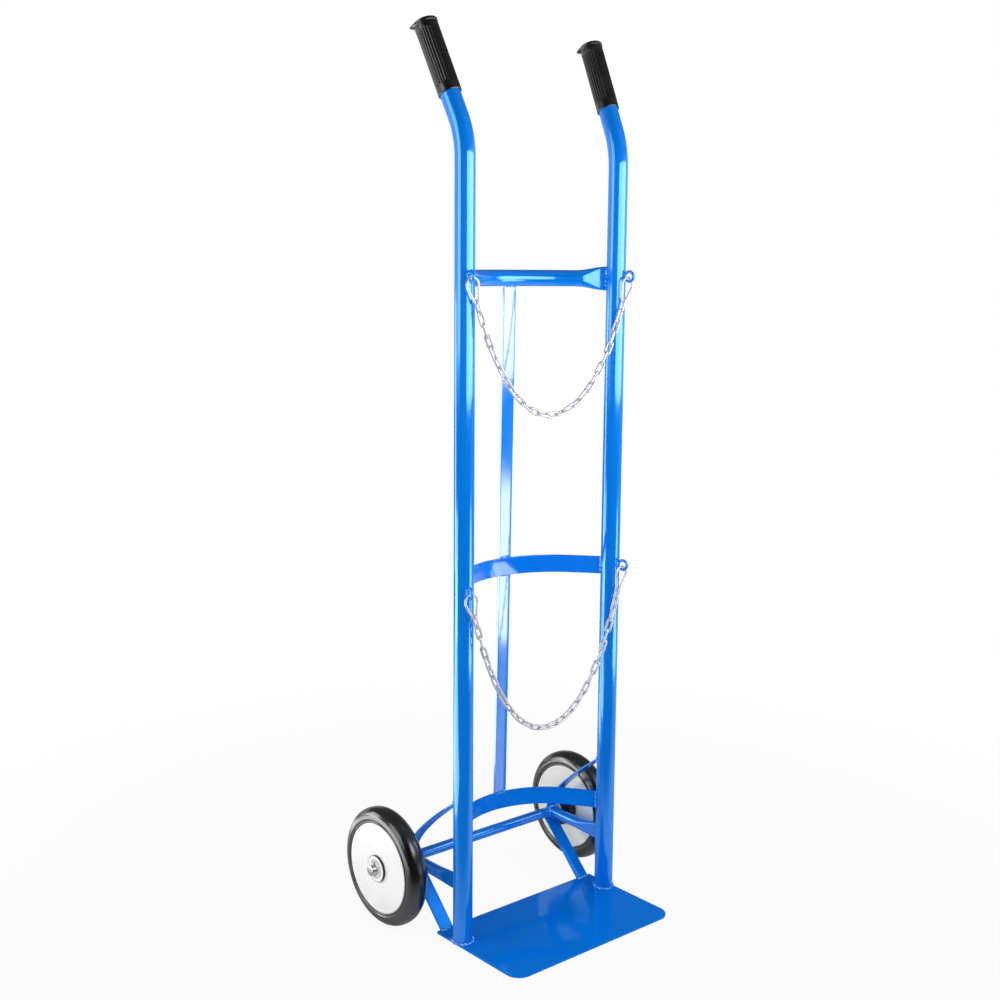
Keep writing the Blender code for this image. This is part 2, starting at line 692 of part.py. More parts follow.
def hanging_curve(half_span, length):
    """A function giving the point at a distance along a chain of this length, hung between level ends."""
    low, high = half_span / 40, half_span * 40
    for _ in range(80):
        scale = math.sqrt(low * high)
        low, high = (scale, high) if 2 * scale * math.sinh(half_span / scale) > length else (low, scale)
    end_drop = scale * math.cosh(half_span / scale)

    def place(distance):
        x = scale * math.asinh((distance - length / 2) / scale)
        return Vector((x, 0, scale * math.cosh(x / scale) - end_drop))

    return place


def link_outline():
    """A chain link's middle line: two half circles joined by straight sides, long along its own Z."""
    radius = (CHAIN_LINK_WIDTH - CHAIN_WIRE) / 2
    straight = (CHAIN_PITCH + CHAIN_WIRE - CHAIN_FUSE) / 2 - radius
    outline = arc((0, straight), radius, 0, math.pi, LINK_STEPS)
    outline += arc((0, -straight), radius, math.pi, 2 * math.pi, LINK_STEPS)
    return outline


def pear_outline():
    """An end link's middle line: a wide crown at the origin, narrowing downwards to a small round bottom."""
    between = PEAR_LENGTH - PEAR_TOP_RADIUS - PEAR_BOTTOM_RADIUS
    tilt = math.asin((PEAR_TOP_RADIUS - PEAR_BOTTOM_RADIUS) / between)
    bottom = (0, PEAR_BOTTOM_RADIUS - PEAR_LENGTH)
    outline = arc((0, -PEAR_TOP_RADIUS), PEAR_TOP_RADIUS, -tilt, math.pi + tilt, PEAR_STEPS)
    outline += arc(bottom, PEAR_BOTTOM_RADIUS, math.pi + tilt, 2 * math.pi - tilt, PEAR_STEPS // 2)
    return outline


def link_turn(k, count):
    """How far link k is turned about its length: square to its neighbours, and at 45 degrees mid-chain."""
    to_rest = eased(k / CHAIN_TURN_LINKS)
    to_end = eased((k - (count - 1 - CHAIN_TURN_LINKS)) / CHAIN_TURN_LINKS)
    end_turn = -CHAIN_REST_TURN if count % 2 else math.pi / 2 - CHAIN_REST_TURN
    return math.pi / 2 * (k + 1) + CHAIN_REST_TURN * to_rest + end_turn * to_end


def lay_wire(bm, outline, sides, start, along, turn):
    """Adds a closed wire whose outline's own Z runs along a direction in the XZ plane, turned about it."""
    up = along.normalized()
    wide = Vector((up.z, 0, -up.x))
    out = Matrix.Rotation(turn, 3, up) @ wide
    normal = out.cross(up)
    points = [start + out * x + up * z for x, z in outline]
    add_skin(bm, wire_rings(points, normal, CHAIN_WIRE / 2, sides, True), True)


def build_chains():
    """Each chain hangs in a curve between its two eyes, an end link at each end, and swings about them."""
    chains = (
        ("upper", UPPER_EYE_HEIGHT, UPPER_CHAIN_LINKS),
        ("lower", LOWER_EYE_HEIGHT, LOWER_CHAIN_LINKS),
    )
    for level, height, count in chains:
        crown = eye_centre(1, height) - Vector((0, 0, CROWN_DROP))
        length = 2 * pear_reach() + count * CHAIN_PITCH
        place = hanging_curve(crown.x, length)
        swing = empty(f"{level}_chain_swing", (0, crown.y, crown.z))
        joints = [place(pear_reach() + k * CHAIN_PITCH) for k in range(count + 1)]
        for name, sign, joint in (("left", -1, joints[0]), ("right", 1, joints[-1])):
            pear = bmesh.new()
            start = Vector((sign * crown.x, 0, 0))
            lay_wire(pear, pear_outline(), RING_SIDES, start, start - joint, 0)
            node(f"{level}_{name}_end_link", pear, ZINC, parent=swing)
        halves = (bmesh.new(), bmesh.new())
        for k in range(count):
            middle = (joints[k] + joints[k + 1]) / 2
            along = joints[k + 1] - joints[k]
            lay_wire(halves[k % 2], link_outline(), CHAIN_SIDES, middle, along, link_turn(k, count))
        chain = node(f"{level}_chain", halves[0], ZINC, parent=swing)
        between = helper(f"{level}_chain_between", halves[1], Matrix.Translation((0, crown.y, crown.z)))
        combine(chain, between, "UNION")


def main():
    """Builds every piece."""
    clear_scene()
    build_uprights()
    build_grips()
    build_toe_plate()
    build_crossbar()
    build_cradles()
    build_back_strap()
    build_axle()
    build_stay_tubes()
    build_flat_stays()
    build_wheels()
    build_eyes()
    build_chains()


main()
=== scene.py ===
"""Looks for the gas cylinder cart: finer pieces, finishes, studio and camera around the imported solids.

Metres, +Z up, the toe plate towards -Y and the wheels towards +Y. Left is -X.
"""

import math

import bmesh
import bpy
import numpy as np
from mathutils import Matrix


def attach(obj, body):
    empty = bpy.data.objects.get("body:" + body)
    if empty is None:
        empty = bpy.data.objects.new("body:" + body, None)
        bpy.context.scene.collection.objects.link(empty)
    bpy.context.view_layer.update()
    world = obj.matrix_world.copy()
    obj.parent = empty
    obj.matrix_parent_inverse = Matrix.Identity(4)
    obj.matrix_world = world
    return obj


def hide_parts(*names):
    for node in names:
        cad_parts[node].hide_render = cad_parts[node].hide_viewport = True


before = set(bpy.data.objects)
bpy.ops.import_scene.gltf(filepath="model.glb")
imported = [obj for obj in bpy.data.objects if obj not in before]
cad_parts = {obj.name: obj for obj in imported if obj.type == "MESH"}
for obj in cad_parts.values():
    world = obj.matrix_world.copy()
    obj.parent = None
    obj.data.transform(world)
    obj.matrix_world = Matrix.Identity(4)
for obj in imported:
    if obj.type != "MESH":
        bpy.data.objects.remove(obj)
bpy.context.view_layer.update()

# Sizes that the solids were made with
GAP = 0.0003
HALF_SPACING = 0.161
UPRIGHT_RADIUS = 0.016
UPRIGHT_REACH = UPRIGHT_RADIUS + GAP
BEND_HEIGHT = 1.282
BEND_RADIUS = 0.140
HANDLE_LEAN = math.radians(26)
HANDLE_SPLAY = math.radians(8)
HANDLE_LENGTH = 0.1872
GRIP_RADIUS = 0.0183
GRIP_LENGTH = 0.122
GRIP_CAP = 0.004
GRIP_DOME = 0.0025
PLATE_WIDTH = 0.350
PLATE_FRONT = 0.152
PLATE_REAR = 0.0514
PLATE_THICKNESS = 0.004
PLATE_FRONT_CORNER = 0.025
PLATE_REAR_CORNER = 0.002
BOW_LEG = 0.0667
CROSSBAR_HEIGHT = 1.073
CROSSBAR_OD = 0.027
CROSSBAR_SAG = 0.1025
CRUSHED_THICKNESS = 0.0052
CRADLE_HEIGHT = 0.030
CRADLE_THICKNESS = 0.005
MIDDLE_CRADLE_HEIGHT = 0.588
MIDDLE_CRADLE_SAG = 0.104396
LOWER_CRADLE_HEIGHT = 0.164
LOWER_CRADLE_SAG = 0.118
STRAP_WIDTH = 0.025
STRAP_THICKNESS = 0.005
STRAP_OFFSET = 0.016
AXLE_RADIUS = 0.009
AXLE_BACK = 0.140
AXLE_HEIGHT = 0.100
AXLE_END_X = 0.2466
STAY_OD = 0.020
STAY_CRUSH = 0.062
FLAT_STAY_THICKNESS = 0.003
UPPER_STAY_WIDTH = 0.022
UPPER_STAY_HEIGHT = 0.2355
UPPER_STAY_SLOPE = math.radians(36.5)
UPPER_STAY_LEAD = 0.073
UPPER_STAY_FALL = 0.0374
UPPER_STAY_LEAN = math.radians(11)
LOWER_STAY_WIDTH = 0.025
LOWER_STAY_INSET = 0.0055
LOWER_STAY_FOOT = 0.04898
LOWER_STAY_TOP = 0.0897
WHEEL_X = 0.2134
WHEEL_RADIUS = 0.100
TYRE_WIDTH = 0.038
TREAD_WIDTH = 0.004
TYRE_SHOULDER_DROP = 0.018
DISC_RADIUS = 0.0763
DISC_FACE = 0.018
DISC_SHEET = 0.002
BOSS_RADIUS = 0.0225
BOSS_HEIGHT = 0.004
HUB_BORE = 0.0093
HUB_CORE_RADIUS = 0.017
HUB_BOSS_RADIUS = 0.031
HUB_BOSS_LENGTH = 0.0209
INNER_WASHER_X = 0.1723
INNER_WASHER_THICKNESS = 0.0016
OUTER_WASHER_X = 0.2357
OUTER_WASHER_THICKNESS = 0.002
WASHER_RADIUS = 0.015
PIN_X = 0.2396
EYE_WIRE_RADIUS = 0.0024
EYE_MEAN_RADIUS = 0.008
EYE_REACH = 0.0245
EYE_TURN = math.radians(16)
EYE_HEIGHTS = {"upper": 1.0765, "lower": 0.591}
CROWN_DROP = 0.0024
CHAIN_WIRE = 0.0038
CHAIN_PITCH = 0.0188
CHAIN_LINK_WIDTH = 0.0118
CHAIN_REST_TURN = math.radians(45)
CHAIN_TWIST = math.radians(36)
CHAIN_TURN_LINKS = 4
CHAIN_LINKS = {"upper": 27, "lower": 30}
PEAR_LENGTH = 0.0395
PEAR_TOP_RADIUS = 0.0115
PEAR_BOTTOM_RADIUS = 0.0045
PEAR_REACH = 0.0369

# Detail that only the looks have
TUBE_SIDES = 64
CRUSHED_SIDES = 48
LATHE_STEPS = 160
WASHER_STEPS = 96
GRIP_RIBS = 24
GRIP_RIB_POINTS = 14
GRIP_RIB_DEPTH = 0.0009
GRIP_RIB_FADE = 0.003
GRIP_PLAIN_BAND = 0.013
GRIP_COLLAR = 0.0007
GRIP_EAR = 0.006
GRIP_EAR_TURN = math.radians(38)
GRIP_EAR_FOOT = 0.0032
GRIP_EAR_RISE = 0.0026
BAR_EDGE = 0.0008
STAY_EDGE = 0.0006
PLATE_EDGE = 0.0009
LEG_SINK = 0.0006
TYRE_WALL = (
    (0.0813, 0.0003), (0.0806, 0.0011), (0.0800, 0.0012), (0.0794, 0.0006),
    (0.0788, 0.0002), (0.0776, 0.0002), (0.0769, 0.0008),
)
TYRE_TONGUE_RADIUS = 0.060
TYRE_TONGUE_FACE = 0.0157
DISC_LAP = 0.003
DISC_RIM_FOOT = 0.0705
DISC_RIM_INNER = 0.0715
DISC_RIM_OUTER = 0.0752
DISC_RIM_RISE = 0.0006
OUTER_DISC_EASE = 0.0011
INNER_DISC_EASE = 0.0009
COLLAR_SINK = 0.0010
COLLAR_DROP = 0.0003
COLLAR_EASE = 0.0005
CAP_SHEET = 0.0011
CAP_INSET = 0.0010
CAP_SUNK = 0.0002
THIN_EASE = 0.0004
HUB_LIP_RADIUS = 0.0155
HUB_LIP = 0.0016
HUB_STEP_RADIUS = 0.0265
HUB_STEP = 0.005
PIN_WIRE = 0.0008
PIN_EYE_RADIUS = 0.0036
PIN_EYE_RISE = 0.0046
PIN_LEG = (
    (-0.0056, -0.0128), (-0.0034, -0.0115), (-0.0014, -0.0104), (-PIN_WIRE, -0.0090), (-PIN_WIRE, 0.0094),
)
LINK_SLACK = 0.0002
CHAIN_TWIST_WAVES = 2.6
BEAD_RADIUS = 0.0018
BEAD_RIPPLE = 0.0028
BEAD_SIDES = 12
BEAD_STEPS = 160
FOOT_BEAD_RADIUS = 0.0021
FOOT_BEAD_LIFT = 0.0008
EYE_BEAD_RADIUS = 0.0017
EYE_BEAD_TALL = 0.012
EYE_BEAD_APART = 0.0024
PLATE_BEAD_RADIUS = 0.0020
STRAP_BEAD_RADIUS = 0.0026
BEAD_SEAT = 0.0002
BEAD_LIFT = 0.0004
EDGE_BEAD_LIFT = 0.0006
END_BEAD_SHORT = 0.004
STAY_BEAD_SLOPE = 0.74
STAY_BEAD_RISE = 0.0022
STAY_BEAD_BACKS = (-0.0026, 0.0020)
PLATE_BEAD_BACKS = (-0.0024, 0.0018)
STAY_HEAD_BEAD_BACK = 0.0030
STAY_HEAD_BEAD_HALF = 0.006
STRAP_TOP_BEAD_BACK = 0.0030
STRAP_FOOT_BEAD_BACK = 0.0026

SIDES = (("left", -1), ("right", 1))
X_AXIS = np.array((1.0, 0.0, 0.0))
Y_AXIS = np.array((0.0, 1.0, 0.0))
Z_AXIS = np.array((0.0, 0.0, 1.0))


# Surfaces
def unit(vectors):
    """Each vector over its own length."""
    return vectors / np.linalg.norm(vectors, axis=-1, keepdims=True)


def smooth(share):
    """3s^2 - 2s^3, with s held between 0 and 1."""
    held = np.clip(share, 0, 1)
    return held * held * (3 - 2 * held)


def shell(grid, wrap_rows=False):
    """A grid (rows, columns, 3) as points, four-cornered faces between neighbours, and end caps.

    The columns close to a ring; the rows close too if they wrap, and else have a cap at both ends."""
    rows, columns = grid.shape[:2]
    row = np.arange(rows if wrap_rows else rows - 1)[:, None]
    column = np.arange(columns)[None]
    here = row * columns
    after = (row + 1) % rows * columns
    beside = (column + 1) % columns
    corners = (here + column, here + beside, after + beside, after + column)
    quads = np.stack(np.broadcast_arrays(*corners), -1).reshape(-1, 4)
    first = np.arange(columns)
    ends = [] if wrap_rows else [first[::-1], first + (rows - 1) * columns]
    return grid.reshape(-1, 3), quads, ends


def piece(name, shells, material, body, nodes=(), crease=32.0):
    """One object from shells, facing outwards, smooth up to the crease angle, riding on a body."""
    starts = np.cumsum([0] + [len(points) for points, _, _ in shells])
    points = np.concatenate([points for points, _, _ in shells])
    faces = np.concatenate([quads + start for (_, quads, _), start in zip(shells, starts)]).tolist()
    faces += [(cap + start).tolist() for (_, _, caps), start in zip(shells, starts) for cap in caps]
    mesh = bpy.data.meshes.new(name)
    mesh.from_pydata(points, [], faces)
    work = bmesh.new()
    work.from_mesh(mesh)
    bmesh.ops.recalc_face_normals(work, faces=work.faces[:])
    work.to_mesh(mesh)
    work.free()
    mesh.shade_smooth()
    mesh.set_sharp_from_angle(angle=math.radians(crease))
    mesh.materials.append(material)
    item = bpy.data.objects.new(name, mesh)
    bpy.context.scene.collection.objects.link(item)
    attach(item, body)
    if nodes:
        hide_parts(*nodes)


def ring(radius, sides):
    """A circle: radius * (cos t, sin t)."""
    turn = np.linspace(0, 2 * math.pi, sides, endpoint=False)
    return radius * np.stack((np.cos(turn), np.sin(turn)), -1)


def eased_corners(points, reach, steps=5):
    """A closed outline with each corner P replaced by the curve (1-t)^2 A + 2(1-t)t P + t^2 B.

    A and B lie on the corner's two edges, at most reach away and never past 0.45 of the edge."""
    points = np.asarray(points, float)
    ends = []
    for step in (1, -1):
        edge = np.roll(points, step, 0) - points
        length = np.linalg.norm(edge, axis=1, keepdims=True)
        ends.append(points + edge / length * np.minimum(reach, 0.45 * length))
    t = np.linspace(0, 1, steps)[None, :, None]
    curve = (1 - t) ** 2 * ends[0][:, None] + 2 * (1 - t) * t * points[:, None] + t * t * ends[1][:, None]
    return curve.reshape(-1, points.shape[1])


def bar(thickness, width, edge=BAR_EDGE):
    """A flat bar's section with eased edges, centred, thickness first."""
    corners = np.array(((-1, -1), (1, -1), (1, 1), (-1, 1))) * (thickness / 2, width / 2)
    return eased_corners(corners, edge)


def oval(width, height):
    """A circle of the width drawn apart to the height: (w/2 cos t, w/2 sin t +- (h - w)/2)."""
    turn = (np.arange(CRUSHED_SIDES) + 0.5) * 2 * math.pi / CRUSHED_SIDES
    across = width[..., None] / 2 * np.cos(turn)
    up = width[..., None] / 2 * np.sin(turn) + np.sign(np.sin(turn)) * (height - width)[..., None] / 2
    return np.stack((across, up), -1)


def walked_along(path):
    """The distance along a path to each of its points."""
    return np.concatenate(((0,), np.cumsum(np.linalg.norm(np.diff(path, axis=0), axis=1))))


def heading(path, closed=False):
    """The unit direction of a path at each of its points, from the neighbours on both sides."""
    if closed:
        return unit(np.roll(path, -1, 0) - np.roll(path, 1, 0))
    return unit(np.gradient(path, axis=0))


def swept(path, section, normal, closed=False):
    """A section carried along a path in a plane: path + a * (heading x normal) + b * normal."""
    side = np.cross(heading(path, closed), normal)
    section = np.broadcast_to(section, (len(path),) + np.shape(section)[-2:])
    return path[:, None] + section[..., :1] * side[:, None] + section[..., 1:] * np.asarray(normal)


def cut_end(grid, row, axis, value):
    """Slides one end row along the sweep until it lies on the plane where that axis has the value."""
    inner = 1 if row == 0 else row - 1
    along = grid[row] - grid[inner]
    share = (value - grid[inner][:, axis]) / along[:, axis]
    grid[row] = grid[inner] + along * share[:, None]


def lathe(profile, centre, sign=1, steps=LATHE_STEPS):
    """An outline (r, offset) turned about X: centre + (sign * offset, r cos t, r sin t)."""
    profile = np.asarray(profile, float)
    turn = np.linspace(0, 2 * math.pi, steps, endpoint=False)[:, None]
    radius, offset = profile[:, 0], profile[:, 1]
    around = np.broadcast_to(sign * offset, (steps, len(profile)))
    return np.stack((around, radius * np.cos(turn), radius * np.sin(turn)), -1) + np.asarray(centre)


def arc(centre, radius, start, end, steps):
    """Points of a circle between two angles, both ends included."""
    turn = np.linspace(start, end, steps)
    return np.stack((centre[0] + radius * np.cos(turn), centre[1] + radius * np.sin(turn)), -1)


def bead(path, normal=None, radius=BEAD_RADIUS, closed=False):
    """A weld bead: a round section whose radius follows 1 + 0.20 cos(2 pi s / pitch).

    Uneven lumps lie between, and an open bead tapers as the root of the distance to its ends."""
    walked = walked_along(path)
    whole = walked[-1] * (len(path) / (len(path) - 1) if closed else 1)
    ripples = max(round(whole / BEAD_RIPPLE), 1)
    around = 2 * math.pi * walked / whole
    seed = 40 * path[0].sum()
    lumps = 0.16 * np.sin(round(0.43 * ripples) * around + seed)
    knots = 0.12 * np.sin(round(1.7 * ripples) * around + 3 * seed)
    size = (1 + 0.20 * np.cos(ripples * around)) * (1 + lumps + knots)
    if not closed:
        left = np.minimum(walked, walked[-1] - walked)
        size *= np.sqrt(np.clip(left / (1.6 * radius), 0.02, 1))
    normal = Z_AXIS if normal is None else normal
    along = heading(path, closed)
    side = unit(np.cross(along, normal))
    lift = np.cross(side, along)
    section = ring(radius, BEAD_SIDES)
    grid = section[None, :, :1] * side[:, None] + section[None, :, 1:] * lift[:, None]
    return shell(path[:, None] + grid * size[:, None, None], wrap_rows=closed)


def line(start, end, steps=60):
    """Points on a straight line."""
    return np.linspace(np.asarray(start, float), np.asarray(end, float), steps)


def level_bead(middle, half, radius=BEAD_RADIUS):
    """A straight weld bead along X, reaching half to both sides of its middle."""
    return bead(line(middle - half * X_AXIS, middle + half * X_AXIS), radius=radius)


# Finishes
class Tone:
    """A socket of a material's nodes; arithmetic on it adds the Math nodes that work it out."""

    def __init__(self, tree, socket):
        self.tree = tree
        self.socket = socket

    def make(self, kind, settings, inputs, output=0):
        """Any node: its settings first, then the values or links of its sockets."""
        node = self.tree.nodes.new(kind)
        for key, value in settings.items():
            setattr(node, key, value)
        for key, value in inputs.items():
            if isinstance(value, Tone):
                self.tree.links.new(value.socket, node.inputs[key])
            else:
                node.inputs[key].default_value = value
        return Tone(self.tree, node.outputs[output])

    def worked(self, operation, first, second):
        return self.make("ShaderNodeMath", {"operation": operation}, {0: first, 1: second})

    def __add__(self, other):
        return self.worked("ADD", self, other)

    __radd__ = __add__

    def __mul__(self, other):
        return self.worked("MULTIPLY", self, other)

    __rmul__ = __mul__

    def __sub__(self, other):
        return self.worked("SUBTRACT", self, other)

    def __rsub__(self, other):
        return self.worked("SUBTRACT", other, self)

    def noise(self, scale, detail=2.0):
        """Soft noise over this place, about 0 to 1."""
        inputs = {"Vector": self, "Scale": scale, "Detail": detail}
        return self.make("ShaderNodeTexNoise", {}, inputs, "Fac")

    def between(self, low, high):
        """0 below low, 1 above high, eased between."""
        settings = {"interpolation_type": "SMOOTHSTEP"}
        return self.make("ShaderNodeMapRange", settings, {0: self, 1: low, 2: high, 3: 0.0, 4: 1.0})

    def mixed(self, first, second):
        """A colour from first to second, by this share."""
        inputs = {0: self, 6: colour(*first), 7: colour(*second)}
        return self.make("ShaderNodeMix", {"data_type": "RGBA"}, inputs, 2)

    def along(self, way):
        """How far this place or direction lies along a way."""
        settings = {"operation": "DOT_PRODUCT"}
        return self.make("ShaderNodeVectorMath", settings, {0: self, 1: tuple(way)}, "Value")

    def bumped(self, depth):
        """A normal raised by this height times depth."""
        return self.make("ShaderNodeBump", {}, {"Strength": 1.0, "Distance": depth, "Height": self})


def ray_kinds(tree, *kinds):
    """For each kind of ray, a socket that is 1 where it is of that kind."""
    rays = tree.nodes.new("ShaderNodeLightPath")
    return [Tone(tree, rays.outputs[f"Is {kind} Ray"]) for kind in kinds]


def finish(name):
    """A new material: its shader node and the place on the piece, in metres."""
    material = bpy.data.materials.new(name)
    material.use_nodes = True
    tree = material.node_tree
    shader = tree.nodes["Principled BSDF"]
    place = Tone(tree, tree.nodes.new("ShaderNodeTexCoord").outputs["Object"])
    return material, shader, place


def colour(red, green, blue):
    """A colour with full alpha."""
    return (red, green, blue, 1.0)


def feed(shader, **values):
    """Sets or links the shader's sockets; an underscore stands for the space in a socket's name."""
    for key, value in values.items():
        socket = shader.inputs[key.replace("_", " ")]
        if isinstance(value, Tone):
            value.tree.links.new(value.socket, socket)
        else:
            socket.default_value = value


def blue_gloss(name, tone, green, flake, waviness, gloss, red):
    """Sprayed gloss enamel: slight clouding, some flake, orange peel and wavy reflections.

    Tone is the blue level and green its share of it; gloss is the IOR, red the reflections' red."""
    material, shader, place = finish(name)
    clouds = place.noise(7.0).between(0.3, 0.7)
    peel = place.noise(420.0, 1.0)
    waves = place.noise(16.0, 1.0)
    height = peel * 0.008 + waves * waviness
    deep = (0.0004, 0.915 * tone * green, 0.915 * tone)
    pale = (0.0004, 0.985 * tone * green, 0.985 * tone)
    feed(
        shader,
        Base_Color=clouds.mixed(deep, pale),
        Metallic=clouds * 0.04 + flake,
        Roughness=place.noise(55.0) * 0.07 + 0.06,
        IOR=gloss,
        Specular_Tint=colour(red, 1.00, 1.00),
        Normal=height.bumped(0.002),
    )
    return material


def weld_finish():
    """Painted weld: the paint over rough, spattered metal; its pale specks are painted glints, colour that
    stands in for light caught by the bead.
    """
    material, shader, place = finish("blue_weld_with_painted_glints")
    grains = place.noise(330.0, 4.0)
    # Painted glints: near-white specks mixed into the base colour (and made glossier) stand in for
    # sparkles of light on the bead
    pale = grains.between(0.50, 0.60)
    feed(
        shader,
        Base_Color=pale.mixed((0.0005, 0.170, 0.800), (0.40, 0.78, 1.00)),
        Roughness=0.30 - 0.20 * pale,
        IOR=1.7,
        Specular_Tint=colour(0.60, 0.94, 1.00),
        Normal=grains.bumped(0.0009),
    )
    return material


def zinc_plate(name, cool, warm, metal):
    """Zinc plating: cool and warm patches, with a fine crystalline roughness."""
    material, shader, place = finish(name)
    patches = place.noise(90.0).between(0.35, 0.65)
    grain = place.noise(900.0)
    feed(
        shader,
        Base_Color=patches.mixed(cool, warm),
        Metallic=patches * 0.15 + metal,
        Roughness=grain * 0.18 + 0.18,
        Normal=(grain * 0.4).bumped(0.0002),
    )
    return material


def rubber(name, dark, pale, rough_low, rough_span, grain_size, gloss, tread=0.0):
    """Moulded rubber: black with a grey bloom in patches and a fine grain; a tread is scuffed matt.

    The tread lies where (y - axle)^2 + (z - axle)^2 is near the wheel's radius squared."""
    material, shader, place = finish(name)
    bloom = place.noise(26.0, 4.0).between(0.45, 0.75)
    grain = place.noise(grain_size, 3.0)
    back = place.along(Y_AXIS) - AXLE_BACK
    up = place.along(Z_AXIS) - AXLE_HEIGHT
    scuffed = (back * back + up * up).between(0.91 * WHEEL_RADIUS**2, 0.98 * WHEEL_RADIUS**2)
    feed(
        shader,
        Base_Color=bloom.mixed(dark, pale),
        Roughness=bloom * rough_span + scuffed * tread + rough_low,
        IOR=gloss,
        Normal=(grain * 0.3).bumped(0.0003),
    )
    return material


def disc_paint(name, clean, dull):
    """Painted sheet steel: a hard, slightly uneven coat."""
    material, shader, place = finish(name)
    patches = place.noise(18.0, 3.0).between(0.4, 0.7)
    peel = place.noise(500.0, 1.0)
    feed(
        shader,
        Base_Color=patches.mixed(clean, dull),
        Roughness=place.noise(60.0) * 0.12 + 0.24,
        Coat_Weight=0.25,
        Coat_Roughness=0.12,
        Normal=(peel * 0.03).bumped(0.002),
    )
    return material


TUBE_BLUE = blue_gloss(
    "blue_gloss_tube", tone=0.90, green=0.252, flake=0.18, waviness=0.03, gloss=2.2, red=0.62
)
SHEET_BLUE = blue_gloss(
    "blue_gloss_sheet", tone=0.82, green=0.250, flake=0.08, waviness=0.25, gloss=1.18, red=0.45
)
CRADLE_BLUE = blue_gloss(
    "blue_gloss_cradle", tone=0.90, green=0.223, flake=0.06, waviness=0.06, gloss=1.9, red=0.96
)
# Painted highlight: a lit copy of the frame's blue paint, with a brighter, paler base than the tubes' that
# stands in for light along the strap; red 1.0 and gloss 2.8 give it whiter, stronger reflections
STRAP_BLUE_PAINTED_HIGHLIGHT = blue_gloss(
    "blue_gloss_strap_painted_highlight", tone=1.0, green=0.270, flake=0.03, waviness=0.03, gloss=2.8, red=1.0
)
WELD = weld_finish()
ZINC = zinc_plate("bright_zinc", cool=(0.60, 0.59, 0.65), warm=(0.72, 0.71, 0.74), metal=0.38)
PALE_ZINC = zinc_plate("pale_zinc", cool=(0.80, 0.80, 0.81), warm=(0.86, 0.85, 0.84), metal=0.12)
STEEL = zinc_plate("dull_zinc", cool=(0.50, 0.51, 0.53), warm=(0.60, 0.60, 0.59), metal=0.85)
TYRE = rubber(
    "tyre_rubber", dark=(0.003, 0.003, 0.004), pale=(0.007, 0.007, 0.008),
    rough_low=0.19, rough_span=0.10, grain_size=260.0, gloss=1.95, tread=0.05,
)
GRIP = rubber(
    "grip_rubber", dark=(0.005, 0.005, 0.0055), pale=(0.011, 0.011, 0.012),
    rough_low=0.26, rough_span=0.14, grain_size=700.0, gloss=1.8,
)
HUB = rubber(
    "hub_black", dark=(0.005, 0.005, 0.006), pale=(0.010, 0.010, 0.011),
    rough_low=0.30, rough_span=0.14, grain_size=420.0, gloss=1.5,
)
WHITE = disc_paint("white_disc", clean=(0.88, 0.89, 0.88), dull=(0.83, 0.84, 0.83))
# The cream's hue is the inner disc's own colour; its brightness, set paler than the white discs' paint, is
# painted light that lifts the inner disc out of its shade
CREAM = disc_paint("cream_disc", clean=(0.95, 0.94, 0.85), dull=(0.92, 0.90, 0.76))


# Frame
def blue_piece(node, ending, surface, paint=TUBE_BLUE):
    """A painted piece of the frame that stands for one node and has its name with an ending."""
    piece(f"{node}_{ending}", [surface], paint, "frame", [node])


def handle_axes(sign):
    """The level way that a handle leans, the handle's own direction, and the bend's normal."""
    out = np.array((sign * math.sin(HANDLE_SPLAY), math.cos(HANDLE_SPLAY), 0))
    along = math.sin(HANDLE_LEAN) * out + math.cos(HANDLE_LEAN) * Z_AXIS
    return out, along, np.cross(out, Z_AXIS)


def dress_uprights():
    """Round tube: straight up, a circular bend, then straight along the handle's direction."""
    tangent = BEND_RADIUS * math.tan(HANDLE_LEAN / 2)
    bend = arc((BEND_RADIUS, BEND_HEIGHT - tangent), BEND_RADIUS, math.pi, math.pi - HANDLE_LEAN, 25)
    for name, sign in SIDES:
        out, along, normal = handle_axes(sign)
        foot = np.array((sign * HALF_SPACING, 0, 0))
        straight = line((0, PLATE_THICKNESS + GAP), bend[0], 40)[:-1]
        rising = np.concatenate((straight, bend))
        path = foot + rising[:, :1] * out + rising[:, 1:] * Z_AXIS
        end = foot + BEND_HEIGHT * Z_AXIS + HANDLE_LENGTH * along
        path = np.concatenate((path, line(path[-1], end, 12)[1:]))
        tube = swept(path, ring(UPRIGHT_RADIUS, TUBE_SIDES), normal)
        blue_piece(f"{name}_upright", "tube", shell(tube))


